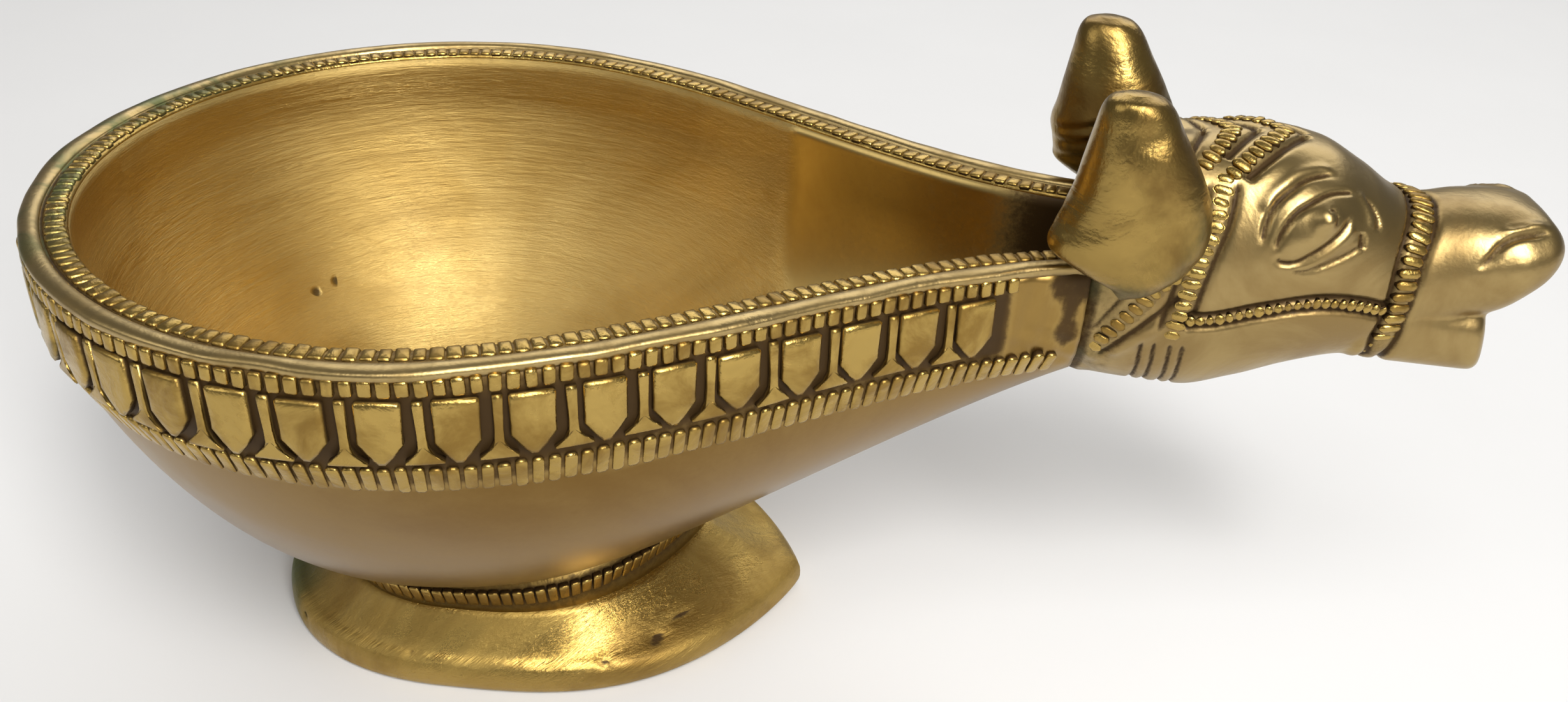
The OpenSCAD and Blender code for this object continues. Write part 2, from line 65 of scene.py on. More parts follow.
lip_low, lip_high = box_mm("rim_lip")
bowl_low, bowl_high = box_mm("bowl")
head_high = box_mm("head")[1]
WALL = 3.5
RIM_Z = lip_high[2]
AXIS_X = lip_low[0] + lip_high[1]
WALL_R = bowl_high[1]
BOWL_R = WALL_R - WALL
LIP_R = lip_high[1] - BOWL_R
NECK_X = bowl_high[0]
NECK_L_FROM_AXIS = NECK_X - AXIS_X
KEEL_Z = bowl_low[2]
print("bowl radius %.1f mm, rim %.1f mm above the table" % (BOWL_R, RIM_Z))

# %% [markdown]
# ## The camera, the floor and the light
#
# The camera stands a little over 13 cm from the lamp, so near things look clearly larger than
# far ones. Its place is worked out from an azimuth, a height angle and a distance, and it is
# rolled by a few degrees, as a camera held in the hand is.


# %% The camera
CAMERA_AZIMUTH, CAMERA_HEIGHT, CAMERA_ROLL = map(math.radians, (3.0, 31.7, 3.4))
CAMERA_AWAY = 133.7


def aim_camera():
    azimuth, height, roll = CAMERA_AZIMUTH, CAMERA_HEIGHT, CAMERA_ROLL
    target = Vector((AXIS_X + 34.4, 0, 30.0)) * MM
    back = Vector((math.sin(azimuth) * math.cos(height), -math.cos(azimuth) * math.cos(height),
                   math.sin(height)))
    right = (-back).cross(Vector((0, 0, 1))).normalized()
    up = right.cross(-back)
    turned_right = right * math.cos(roll) + up * math.sin(roll)
    turned_up = up * math.cos(roll) - right * math.sin(roll)
    turn = Matrix((turned_right, turned_up, back)).transposed().to_4x4()
    data = bpy.data.cameras.new("camera")
    data.lens = 30.74
    data.sensor_width = 36
    data.shift_x = -0.0094
    data.shift_y = 0.0008
    data.clip_start = 0.005
    camera = bpy.data.objects.new("camera", data)
    camera.matrix_world = Matrix.Translation(target + back * CAMERA_AWAY * MM) @ turn
    bpy.context.collection.objects.link(camera)
    bpy.context.scene.camera = camera


aim_camera()
print("the camera stands %.0f mm from the middle of the lamp" % CAMERA_AWAY)

# %% [markdown]
# Polished brass shows mostly what stands around it, so the surround is a quiet grey, and the
# light is one tall bright panel, as a window is, in front of the lamp on the right. It leaves
# the hot spots in the bowl, on the horns and on the foot. Three broad, weak panels stand to the
# side, above and behind. They keep the shadows soft and give the upper surfaces of the head and
# the foot something pale to reflect.


# %% Lights and surround
LAMP_MIDDLE = Vector((0, 0, 0.03))


def soft_panel(name, azimuth, height, away, wide, tall, power, color=(1, 1, 1)):
    """A panel that faces the lamp, seen from it at an azimuth (0 is behind it, 90 is towards
    the head, 180 is in front) and a height angle."""
    data = bpy.data.lights.new(name, "AREA")
    data.shape = "RECTANGLE"
    data.size, data.size_y, data.energy, data.color = wide, tall, power, color
    panel = bpy.data.objects.new(name, data)
    a, e = math.radians(azimuth), math.radians(height)
    towards = Vector((math.sin(a) * math.cos(e), math.cos(a) * math.cos(e), math.sin(e)))
    panel.location = towards * away + LAMP_MIDDLE
    panel.rotation_euler = (-towards).to_track_quat("-Z", "Y").to_euler()
    bpy.context.collection.objects.link(panel)


world = bpy.data.worlds.new("surround")
bpy.context.scene.world = world
world.use_nodes = True
surround = world.node_tree.nodes["Background"].inputs
surround["Color"].default_value = (1.0, 0.97, 0.93, 1)
surround["Strength"].default_value = 0.20

soft_panel("window", 148, 42, 0.60, 0.14, 0.40, 3.6, (1.0, 0.98, 0.95))
soft_panel("side_fill", -120, 35, 0.80, 0.40, 0.40, 0.8)
soft_panel("top_fill", 170, 62, 0.80, 0.50, 0.40, 2.0)
soft_panel("back_fill", 8, 40, 0.55, 0.80, 0.30, 1.5)
bpy.context.scene.view_settings.view_transform = "Standard"
print("lights:", [light.name for light in bpy.data.lights])

# %% [markdown]
# ## Finishes
#
# All the brass is one metal, but it has several finishes: turned, filed, chased and as cast.
# What they share is made once, as node groups. The first group ages the metal and paints shade.
# It mixes a bright and a worn colour by a slow noise, and puts one dark colour wherever the
# mesh's "groove" attribute says: patina where a cloth never reaches, and painted shade
# in creases, under overhangs and on the sides of small blocks. It adds a green tint where the
# "green" attribute is not zero. Patina is an oxide, so the metallic value falls a little wherever
# the dark colour lies.


# %% A small helper that builds node trees
def node(tree, kind, inputs=None, **settings):
    """Adds a node, sets its settings, and links or fills its inputs."""
    made = tree.nodes.new(kind)
    for key, value in settings.items():
        setattr(made, key, value)
    for key, value in (inputs or {}).items():
        socket = made.inputs[key]
        if isinstance(value, bpy.types.NodeSocket):
            tree.links.new(value, socket)
        else:
            socket.default_value = value
    return made


def math_node(tree, operation, a, b=0.0, c=0.0, clamp=False):
    return node(tree, "ShaderNodeMath", {0: a, 1: b, 2: c}, operation=operation,
                use_clamp=clamp).outputs[0]


def mix_color(tree, factor, a, b):
    """A Mix node's colours are its inputs 6 and 7, and its output 2."""
    made = node(tree, "ShaderNodeMix", {0: factor, 6: a, 7: b}, data_type="RGBA")
    return made.outputs[2]


def spread(tree, value, low, high, to_low=0.0, to_high=1.0):
    """Stretches the part of a value between low and high, with soft ends."""
    made = node(tree, "ShaderNodeMapRange",
                {"Value": value, "From Min": low, "From Max": high, "To Min": to_low,
                 "To Max": to_high}, interpolation_type="SMOOTHSTEP")
    return made.outputs["Result"]


def new_group(name, inputs, outputs):
    """A node group with named inputs and outputs: the group, what it is given, its result."""
    group = bpy.data.node_groups.new(name, "ShaderNodeTree")
    for title, kind, value in inputs:
        socket = group.interface.new_socket(title, in_out="INPUT", socket_type=kind)
        socket.default_value = value
    for title, kind in outputs:
        group.interface.new_socket(title, in_out="OUTPUT", socket_type=kind)
    return group, group.nodes.new("NodeGroupInput").outputs, group.nodes.new("NodeGroupOutput")


FLOAT, COLOR, VECTOR = "NodeSocketFloat", "NodeSocketColor", "NodeSocketVector"


# %% The ageing of brass, and its painted shade
def make_aged_and_shaded_brass():
    group, given, result = new_group("aged_and_shaded_brass", [
        ("Place", VECTOR, (0, 0, 0)), ("Bright", COLOR, (0.80, 0.62, 0.30, 1)),
        ("Worn", COLOR, (0.52, 0.36, 0.14, 1)), ("Patina and shade", COLOR, (0.060, 0.033, 0.010, 1)),
        ("Green", COLOR, (0.12, 0.15, 0.06, 1)), ("Patina and shade amount", FLOAT, 0.0),
        ("Green amount", FLOAT, 0.0), ("Blotch size", FLOAT, 90.0), ("Stain", FLOAT, 0.3),
        ("Smooth roughness", FLOAT, 0.22), ("Dull roughness", FLOAT, 0.42)],
        [("Color", COLOR), ("Roughness", FLOAT), ("Height", FLOAT), ("Metal", FLOAT)])
    slow = node(group, "ShaderNodeTexNoise", {"Vector": given["Place"], "Detail": 5.0,
                "Roughness": 0.62, "Distortion": 0.6, "Scale": given["Blotch size"]})
    fine = node(group, "ShaderNodeTexNoise", {"Vector": given["Place"], "Scale": 1500.0,
                "Detail": 4.0, "Roughness": 0.7})
    blotch = spread(group, slow.outputs["Fac"], 0.38, 0.66)
    colour = mix_color(group, math_node(group, "MULTIPLY", blotch, given["Stain"]),
                       given["Bright"], given["Worn"])
    ragged = math_node(group, "MULTIPLY_ADD", fine.outputs["Fac"], 0.5, -0.25)
    deep = math_node(group, "ADD", given["Patina and shade amount"], ragged)
    dark = spread(group, deep, 0.30, 0.85)
    dark = math_node(group, "MULTIPLY", dark, spread(group, given["Patina and shade amount"], 0.02, 0.2))
    # The dark colour is patina in hollows, and painted shade in creases and on block sides
    colour = mix_color(group, dark, colour, given["Patina and shade"])
    tint = math_node(group, "MULTIPLY", given["Green amount"],
                     spread(group, slow.outputs["Fac"], 0.42, 0.60))
    colour = mix_color(group, tint, colour, given["Green"])
    dull = math_node(group, "MULTIPLY_ADD", blotch, 0.7,
                     math_node(group, "MULTIPLY", fine.outputs["Fac"], 0.3))
    rough = spread(group, math_node(group, "MAXIMUM", dull, dark), 0.0, 1.0)
    rough = math_node(group, "MULTIPLY", rough,
                      math_node(group, "SUBTRACT", given["Dull roughness"],
                                given["Smooth roughness"]))
    rough = math_node(group, "ADD", rough, given["Smooth roughness"])
    rough = math_node(group, "ADD", rough, math_node(group, "MULTIPLY", dark, 0.25))
    height = math_node(group, "ADD", slow.outputs["Fac"],
                       math_node(group, "MULTIPLY", fine.outputs["Fac"], 0.12))
    metal = math_node(group, "SUBTRACT", 1.0, math_node(group, "MULTIPLY", dark, 0.35))
    for title, value in (("Color", colour), ("Roughness", rough), ("Height", height),
                         ("Metal", metal)):
        group.links.new(value, result.inputs[title])
    return group


AGED_AND_SHADED_BRASS = make_aged_and_shaded_brass()

# %% [markdown]
# The second group draws tool marks: a noise stretched hard along one direction. On the inside
# of the bowl the direction goes round the lathe's axis. On the foot it is slanted, because
# the foot was filed by hand. The third group leaves the small pits of a sand casting.


# %% Tool marks and casting pits
def make_tool_marks():
    group, given, result = new_group("tool_marks", [
        ("Place", VECTOR, (0, 0, 0)), ("Marks", FLOAT, 900.0), ("Length", FLOAT, 0.03)],
        [("Height", FLOAT), ("Streak", FLOAT)])
    stretch = node(group, "ShaderNodeCombineXYZ", {"X": given["Length"], "Y": 1.0, "Z": 1.0})
    squeezed = node(group, "ShaderNodeVectorMath", {0: given["Place"], 1: stretch.outputs[0]},
                    operation="MULTIPLY")
    fine = node(group, "ShaderNodeTexNoise", {"Vector": squeezed.outputs[0], "Detail": 6.0,
                "Roughness": 0.75, "Scale": given["Marks"]})
    broad = node(group, "ShaderNodeTexNoise", {"Vector": squeezed.outputs[0], "Detail": 3.0,
                 "Scale": math_node(group, "MULTIPLY", given["Marks"], 0.16)})
    streak = spread(group, broad.outputs["Fac"], 0.40, 0.62)
    group.links.new(fine.outputs["Fac"], result.inputs["Height"])
    group.links.new(streak, result.inputs["Streak"])
    return group


def make_casting_pits():
    group, given, result = new_group("casting_pits", [
        ("Place", VECTOR, (0, 0, 0)), ("Pits", FLOAT, 260.0), ("Rarity", FLOAT, 0.62)],
        [("Pit", FLOAT)])
    cell = node(group, "ShaderNodeTexVoronoi", {"Vector": given["Place"], "Scale": given["Pits"]})
    where = node(group, "ShaderNodeTexNoise", {"Vector": given["Place"], "Scale": 110.0,
                 "Detail": 1.0})
    core = spread(group, cell.outputs["Distance"], 0.04, 0.12, 1.0, 0.0)
    rare = math_node(group, "GREATER_THAN", where.outputs["Fac"], given["Rarity"])
    group.links.new(math_node(group, "MULTIPLY", core, rare), result.inputs["Pit"])
    return group


TOOL_MARKS = make_tool_marks()
CASTING_PITS = make_casting_pits()
print("node groups:", [g.name for g in bpy.data.node_groups])

# %% [markdown]
# Every finish is then one material that uses the groups with its own values. A metal's colour
# is the colour of its reflection, so the base colour is a warm yellow. Marks are given as their
# direction, how many there are to a metre, their length, depth and effect on the gloss, and the
# attribute that says where they are, if not everywhere. Pits are given as their number, rarity
# and depth. A deeper colour of age and painted shade is given as the attribute that leads it
# and its colour.


# %% The brass finishes
DIRT = (0.05, 0.035, 0.02, 1)
MEAN_RADIUS = 0.03


def painted(tree, attribute):
    """A value that is stored on the points of a mesh; it is zero where there is none."""
    return node(tree, "ShaderNodeAttribute", attribute_name=attribute).outputs["Fac"]


def round_the_axis(tree, place):
    """Places unrolled round the lathe's axis: the angle, the radius and the height."""
    spot = node(tree, "ShaderNodeSeparateXYZ", {0: place})
    x, y = math_node(tree, "SUBTRACT", spot.outputs["X"], AXIS_X * MM), spot.outputs["Y"]
    radius = math_node(tree, "SQRT", math_node(
        tree, "ADD", math_node(tree, "MULTIPLY", x, x), math_node(tree, "MULTIPLY", y, y)))
    angle = math_node(tree, "MULTIPLY", math_node(tree, "ARCTAN2", y, x), MEAN_RADIUS)
    return node(tree, "ShaderNodeCombineXYZ",
                {"X": angle, "Y": radius, "Z": spot.outputs["Z"]}).outputs[0]


def brass_finish(name, bright, worn, blotch, stain, smooth, dull, wave, marks=None, pits=None,
                 age_and_shade=None):
    finish = bpy.data.materials.new(name)
    finish.use_nodes = True
    tree = finish.node_tree
    shader = tree.nodes["Principled BSDF"]
    shader.inputs["Coat Weight"].default_value = 0.06
    shader.inputs["Specular IOR Level"].default_value = 0.25
    shader.inputs["Coat Roughness"].default_value = 0.30
    place = node(tree, "ShaderNodeTexCoord").outputs["Object"]
    deep = painted(tree, "groove")
    aged_and_shaded = node(tree, "ShaderNodeGroup", node_tree=AGED_AND_SHADED_BRASS)
    for key, value in {"Bright": (*bright, 1), "Worn": (*worn, 1), "Blotch size": blotch,
                       "Stain": stain, "Smooth roughness": smooth,
                       "Dull roughness": dull}.items():
        aged_and_shaded.inputs[key].default_value = value
    for key, socket in {"Place": place, "Patina and shade amount": deep,
                        "Green amount": painted(tree, "green")}.items():
        tree.links.new(socket, aged_and_shaded.inputs[key])
    tree.links.new(aged_and_shaded.outputs["Metal"], shader.inputs["Metallic"])
    colour, rough = aged_and_shaded.outputs["Color"], aged_and_shaded.outputs["Roughness"]
    height = math_node(tree, "MULTIPLY", aged_and_shaded.outputs["Height"], wave)
    if marks:
        turn, count, length, depth, shine, where = marks
        if turn == "round":
            flow = round_the_axis(tree, place)
        else:
            flow = node(tree, "ShaderNodeMapping", {"Vector": place,
                        "Rotation": tuple(map(math.radians, turn))}).outputs[0]
        tool = node(tree, "ShaderNodeGroup", {"Place": flow, "Marks": count,
                    "Length": length}, node_tree=TOOL_MARKS)
        amount = painted(tree, where) if where else 1.0
        for socket, share in (("Height", depth), ("Streak", shine)):
            lift = math_node(tree, "MULTIPLY", tool.outputs[socket],
                             math_node(tree, "MULTIPLY", amount, share))
            if socket == "Height":
                height = math_node(tree, "ADD", height, lift)
            else:
                rough = math_node(tree, "ADD", rough, lift)
    if pits:
        count, rarity, depth = pits
        pit = node(tree, "ShaderNodeGroup", {"Place": place, "Pits": count, "Rarity": rarity},
                   node_tree=CASTING_PITS).outputs["Pit"]
        height = math_node(tree, "SUBTRACT", height, math_node(tree, "MULTIPLY", pit, depth))
        colour = mix_color(tree, math_node(tree, "MULTIPLY", pit, 0.85), colour, DIRT)
    # The belly's deeper brown: aged brass, and painted shade for the dim surroundings it reflects
    if age_and_shade:
        by, shade = age_and_shade
        share = math_node(tree, "SUBTRACT", painted(tree, by), deep, clamp=True)
        uneven = spread(tree, aged_and_shaded.outputs["Height"], 0.35, 0.80, 1.0, 0.60)
        share = math_node(tree, "MULTIPLY", share, uneven)
        colour = mix_color(tree, share, colour, (*shade, 1))
    bump = node(tree, "ShaderNodeBump", {"Height": height, "Strength": 1.0, "Distance": MM})
    tree.links.new(colour, shader.inputs["Base Color"])
    tree.links.new(rough, shader.inputs["Roughness"])
    tree.links.new(bump.outputs["Normal"], shader.inputs["Normal"])
    return finish


# %% The six finishes of the lamp
# The outside's deeper brown colour is aged brass and painted shade
TURNED = brass_finish("brass_turned", (0.50, 0.355, 0.125), (0.37, 0.235, 0.06), blotch=30,
                      stain=0.7, smooth=0.28, dull=0.38, wave=0.02,
                      marks=("round", 1400.0, 0.10, 0.16, 0.14, "turned"),
                      pits=(150.0, 0.68, 0.10), age_and_shade=("outside", (0.21, 0.118, 0.028)))
WORKED = brass_finish("brass_chased", (0.45, 0.305, 0.085), (0.24, 0.14, 0.03), blotch=170,
                      stain=0.85, smooth=0.24, dull=0.45, wave=0.3)
LIP = brass_finish("brass_lip", (0.44, 0.32, 0.135), (0.27, 0.18, 0.06), blotch=120,
                   stain=0.75, smooth=0.26, dull=0.42, wave=0.16,
                   marks=((0, 0, 0), 500.0, 0.3, 0.03, 0.05, None))
FILED = brass_finish("brass_filed", (0.46, 0.31, 0.085), (0.20, 0.115, 0.025), blotch=55,
                     stain=0.85, smooth=0.20, dull=0.38, wave=0.10,
                     marks=((0, 24, -38), 800.0, 0.05, 0.24, 0.30, None),
                     pits=(120.0, 0.60, 0.15))
CAST = brass_finish("brass_cast", (0.37, 0.265, 0.108), (0.25, 0.162, 0.058), blotch=80,
                    stain=0.75, smooth=0.30, dull=0.44, wave=0.16, pits=(170.0, 0.70, 0.12))
HORN = brass_finish("brass_horn", (0.33, 0.22, 0.062), (0.15, 0.087, 0.022), blotch=95,
                    stain=0.85, smooth=0.24, dull=0.42, wave=0.35, pits=(150.0, 0.66, 0.2))
print("finishes:", [made.name for made in (TURNED, WORKED, LIP, FILED, CAST, HORN)])

# %% [markdown]
# ## Shapes made from rows of points
#
# Most of the lamp is lofted: rows of points that follow one another, with a skin of four-sided
# faces between them. One helper makes a mesh from such a grid, joins its ends where they
# close on themselves, and stores named values on its points for the materials to read.


# %% Meshes from grids
def finish_piece(name, material, replaced):
    """Gives a piece its metal, attaches it to the root body, and hides the plain solids it
    replaces.
    """
    piece = bpy.data.objects[name]
    piece.data.materials.clear()
    piece.data.materials.append(material)
    for face in piece.data.polygons:
        face.use_smooth = True
    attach(piece, "root")
    if replaced:
        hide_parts(*replaced)
    print("%s: %d faces" % (name, len(piece.data.polygons)))


def place_mesh(name, mesh):
    mesh.name = name
    made = bpy.data.objects.new(name, mesh)
    bpy.context.collection.objects.link(made)
    return made


def paint(mesh, values):
    """Stores named values on a mesh's points, for the materials to read."""
    for key, numbers in values.items():
        layer = mesh.attributes.get(key) or mesh.attributes.new(key, "FLOAT", "POINT")
        layer.data.foreach_set("value", np.asarray(numbers, dtype=np.float32))


def mesh_object(name, points, faces, values=None, edges=()):
    """A mesh object from points in millimetres."""
    mesh = bpy.data.meshes.new(name)
    mesh.from_pydata([tuple(p) for p in np.asarray(points) * MM], list(edges), faces)
    paint(mesh, values or {})
    mesh.update()
    return place_mesh(name, mesh)


def grid_faces(rows, columns, close_rows=False, close_columns=False, start=0):
    """Four-sided faces between rows of points; either way round can be closed into a ring."""
    last_row = rows if close_rows else rows - 1
    last_column = columns if close_columns else columns - 1
    faces = []
    for i in range(last_row):
        for j in range(last_column):
            a = start + i * columns + j
            b = start + i * columns + (j + 1) % columns
            c = start + ((i + 1) % rows) * columns + (j + 1) % columns
            d = start + ((i + 1) % rows) * columns + j
            faces.append((a, b, c, d))
    return faces


def tidy(piece, reach=0.0005):
    """Merges points that fall together and makes every face point outwards."""
    work = bmesh.new()
    work.from_mesh(piece.data)
    bmesh.ops.remove_doubles(work, verts=work.verts, dist=reach * MM)
    bmesh.ops.recalc_face_normals(work, faces=work.faces)
    work.to_mesh(piece.data)
    work.free()
    piece.data.update()
    return piece


# %% [markdown]
# ## The plan of the rim
#
# Seen from above, the rim is an arc that turns smoothly into the two sides of the channel.
# Every band follows it, so it is worked out once, evenly spaced, with the direction that
# faces out of the wall at each place.


# %% The rim's plan
def hermite(k, start, end, start_slope, end_slope):
    """A curve from start to end that leaves and arrives at the given slopes, for k 0 to 1."""
    return ((2 * k**3 - 3 * k**2 + 1) * start + (k**3 - 2 * k**2 + k) * start_slope
            + (3 * k**2 - 2 * k**3) * end + (k**3 - k**2) * end_slope)


TURN_ANGLE = 75
TURN = math.radians(TURN_ANGLE)
TURN_X, TURN_Y = BOWL_R * math.cos(TURN), BOWL_R * math.sin(TURN)
CHANNEL_HALF = 5.5
CHANNEL_L = NECK_L_FROM_AXIS - TURN_X
TURN_SLOPE, END_SLOPE = -1 / math.tan(TURN), -0.14


def channel_side(k):
    """Half the channel's width for k from 0 at the bowl to 1 at the head."""
    return hermite(k, TURN_Y, CHANNEL_HALF, CHANNEL_L * TURN_SLOPE, CHANNEL_L * END_SLOPE)


def channel_slope(k):
    return ((6 * k**2 - 6 * k) * (TURN_Y - CHANNEL_HALF) / CHANNEL_L
            + (3 * k**2 - 4 * k + 1) * TURN_SLOPE + (3 * k**2 - 2 * k) * END_SLOPE)


def rim_plan(count):
    """Places along the whole rim, from the head on the left side, past the back, to the head
    on the right side: x and y from the bowl's axis, and the outward direction."""
    angle = np.radians(np.linspace(180, TURN_ANGLE, 400))
    k = np.linspace(0, 1, 400)[1:]
    slope = -channel_slope(k) * (1 - k**6)
    length = np.hypot(slope, 1)
    half = np.concatenate([
        np.stack([BOWL_R * np.cos(angle), BOWL_R * np.sin(angle), np.cos(angle), np.sin(angle)], 1),
        np.stack([TURN_X + CHANNEL_L * k, channel_side(k), slope / length, 1 / length], 1)])
    whole = np.concatenate([half[::-1], (half * [1, -1, 1, -1])[1:]])
    run = running_length(whole[:, :2])
    even = np.linspace(0, run[-1], count)
    plan = np.stack([np.interp(even, run, whole[:, c]) for c in range(4)], 1)
    plan[:, 2:] /= np.hypot(plan[:, 2], plan[:, 3])[:, None]
    return plan


def running_length(line):
    """How far along a line each of its points is."""
    return np.concatenate([[0], np.cumsum(np.linalg.norm(np.diff(line, axis=0), axis=1))])


PLAN = rim_plan(521)
print("rim runs %.0f mm" % running_length(PLAN[:, :2])[-1])

# %% [markdown]
# ## The wall of the bowl
#
# Below the rim the wall stands straight for a few millimetres, then draws in to the keel. The
# keel is level under the bowl and climbs to the underside of the head. Under the round back
# the profile is nearly a cone; under the channel it is an oval.

# %% The wall's own shape
BELLY_Z = RIM_Z - 6.2
KEEL_TURN, KEEL_BEND = 13.0, 7.0
WALL_TOP = RIM_Z - 0.9
HEAD_MID_Z = RIM_Z - 3.2
HEAD_TALL = 12.0
NECK_UNDER_Z = HEAD_MID_Z - 0.95 * HEAD_TALL


def soft_rise(x):
    """Nothing under the bowl, then a straight climb, with a soft bend between them."""
    return (x - KEEL_TURN + np.sqrt((x - KEEL_TURN)**2 + KEEL_BEND**2)) / 2


KEEL_SLOPE = (NECK_UNDER_Z - KEEL_Z) / soft_rise(NECK_L_FROM_AXIS)


def keel_z(x):
    return KEEL_Z + KEEL_SLOPE * soft_rise(x)


def ease(k):
    """Goes softly from 0 to 1, and stays there."""
    k = np.clip(k, 0, 1)
    return k * k * (3 - 2 * k)


def profile_powers(along):
    """The two powers of the profile: nearly a cone under the back, an oval by 24 mm ahead."""
    blend = ease(along / 24)
    return 1.3 + 0.7 * blend, 0.37 + 0.13 * blend


def wall_point(plan, z, out, floor_up=0.0):
    """A point of the wall below each place of the plan, at height z and at a distance out
    from the inner face. Plan and result are rows; x is measured from the bowl's axis."""
    z, out = np.broadcast_to(z, len(plan)), np.broadcast_to(out, len(plan))
    along = np.maximum(0, plan[:, 0])
    depth = BELLY_Z - keel_z(along) - floor_up
    sharp, root = profile_powers(along)
    fallen = np.clip(np.maximum(0, BELLY_Z - z) / depth, 0, 1)
    share = np.clip(1 - fallen**sharp, 0, 1)**root
    x, y = plan[:, 0] + plan[:, 2] * out, plan[:, 1] + plan[:, 3] * out
    return np.stack([along * (1 - share) + x * share + AXIS_X, y * share, z + 0 * x], 1)


def wall_normal(plan, z, out):
    """The direction that faces out of the wall, from points a little above and below."""
    near = 0.3
    above = wall_point(plan, z + near, out) - wall_point(plan, z - near, out)
    along = np.gradient(wall_point(plan, z, out), axis=0)
    normal = np.cross(along, above)
    normal /= np.linalg.norm(normal, axis=1)[:, None]
    outward = np.stack([plan[:, 2], plan[:, 3], 0 * plan[:, 2]], 1)
    return normal * np.sign((normal * outward).sum(1))[:, None]


# %% [markdown]
# ## The bowl
#
# The bowl is one closed shell with an outer and an inner face. Three values are painted on
# its points. "turned" marks the inside as far as the lathe reached; past that line the channel
# is as cast. "groove" darkens the ground behind the bands and the end of the channel,
# where soot and old polish gather; low on the belly it is painted shade. "outside" lets the
# belly be a deeper brown than the inside: aged brass, and painted shade for the dim surroundings
# that the belly reflects.

# %% The bowl
upper_band_low = box_mm("upper_milled_band")[0][2]
lower_band_low, lower_band_top = (corner[2] for corner in box_mm("lower_milled_band"))
panel_low, panel_top = (corner[2] for corner in box_mm("shield_panels"))


BELLY_ROWS = 44


def bowl_rows(out, floor_up):
    """Rows of points from the top of the wall to the keel."""
    deep = BELLY_Z - keel_z(np.maximum(0, PLAN[:, 0])) - floor_up
    grid = [wall_point(PLAN, WALL_TOP - k, out, floor_up) for k in (0, 1.2, 2.4, 3.6, 4.6)]
    fall = [math.sin(math.pi / 2 * j / BELLY_ROWS) for j in range(BELLY_ROWS + 1)]
    grid += [wall_point(PLAN, BELLY_Z - deep * share, out, floor_up) for share in fall]
    return np.array(grid)


# Distances ahead of the bowl's axis at which the outside and the inside change
CHASING_ENDS, BRAZE_STARTS, BROWN_PATCH = 52.6, 49, 58.6
SOOT_STARTS, SOOT_THICKENS = 30, 50


def shell_faces(rows, columns):
    """An outer and an inner grid, joined along the rim and at the open end."""
    skip, end = rows * columns, columns - 1
    faces = [f[::-1] for f in grid_faces(rows, columns)]
    faces += grid_faces(rows, columns, start=skip)
    faces += [(j, j + 1, skip + j + 1, skip + j) for j in range(end)]
    for a, b in ((i * columns, (i + 1) * columns) for i in range(rows - 1)):
        faces.append((a, skip + a, skip + b, b))
        faces.append((b + end, skip + b + end, skip + a + end, a + end))
    return faces


def chased_ground(x, z):
    """The dark ground behind the bands, and the brown patch by the brazed joint."""
    row = ease((z - panel_low + 0.5) / 0.4) * ease((panel_top + 0.2 - z) / 0.3)
    chased = 0.75 * ease((z - lower_band_low - 0.4) / 0.5) + 0.25 * row
    chased *= 1 - 0.85 * ease((x - CHASING_ENDS) / 1.2)
    brown = 0.3 + 0.22 * (z - lower_band_low) + 0.5 * np.sin(1.3 * z)
    patch = ease((z - lower_band_low) / 1.5) * ease((brown - np.abs(x - BROWN_PATCH)) / 1.2)
    return np.maximum(chased, 0.85 * patch)


def make_bowl():
    outer, inner = bowl_rows(WALL, 0), bowl_rows(0, WALL)
    rows, columns = outer.shape[:2]
    points = np.concatenate([outer.reshape(-1, 3), inner.reshape(-1, 3)])
    inside = np.repeat([0.0, 1.0], rows * columns)
    outside = 1 - inside
    x, y, z = points[:, 0] - AXIS_X, points[:, 1], points[:, 2]
    rough = outside * ease((x - BRAZE_STARTS) / 4) * ease((z - lower_band_low) / 1.5)
    lumps = np.sin(2.1 * points[:, 0] + 1.3 * z) * np.sin(1.7 * z - 0.8 * points[:, 0]) - 0.6
    y += np.sign(y) * rough * 0.16 * lumps
    waver = 1.2 * np.sin(y * 0.32) + 0.5 * np.sin(y * 0.9 + 1)
    turned = inside * ease((BOWL_R + 1.5 + waver - x) / 3)
    soot = 0.32 * ease((x - SOOT_STARTS) / 8) + 0.6 * ease((x - SOOT_THICKENS) / 8)
    seam = 0.25 * ease((x - NECK_L_FROM_AXIS + 3.5) / 2.5)
    # Painted shade: darker low on the belly, above the collar
    crease = 0.2 * ease((9.4 - z) / 1.2)
    groove = np.where(inside > 0, soot, np.maximum.reduce([chased_ground(x, z), seam, crease]))
    bowl = mesh_object("oil_bowl", points, shell_faces(rows, columns),
                       {"turned": turned, "groove": groove, "outside": outside})
    tidy(bowl, reach=0.002)


make_bowl()
finish_piece("oil_bowl", TURNED, ("bowl",))

# %% [markdown]
# ## The rim
#
# The top of the wall carries two rings side by side: an inner strip that was milled into small
# blocks, and a smooth lip that was filed round. The strip and the lip are lofted along the
# rim's plan. The filing was done by eye, so the lip's edge wanders by a few tenths.


# %% A ring that follows the rim
def tube_faces(rings, sides):
    """A closed tube: the skin between the rings, and a cap at each end."""
    faces = grid_faces(rings, sides, close_columns=True)
    faces.append(tuple(range(sides))[::-1])
    faces.append(tuple((rings - 1) * sides + j for j in range(sides)))
    return faces


def tarnish_back(piece):
    """The round back was handled least, so the brass there is dull and a little green."""
    spots = np.empty(len(piece.data.vertices) * 3)
    piece.data.vertices.foreach_get("co", spots)
    paint(piece.data, {"green": 0.85 * ease((AXIS_X - 20 - spots[::3] / MM) / 13)})


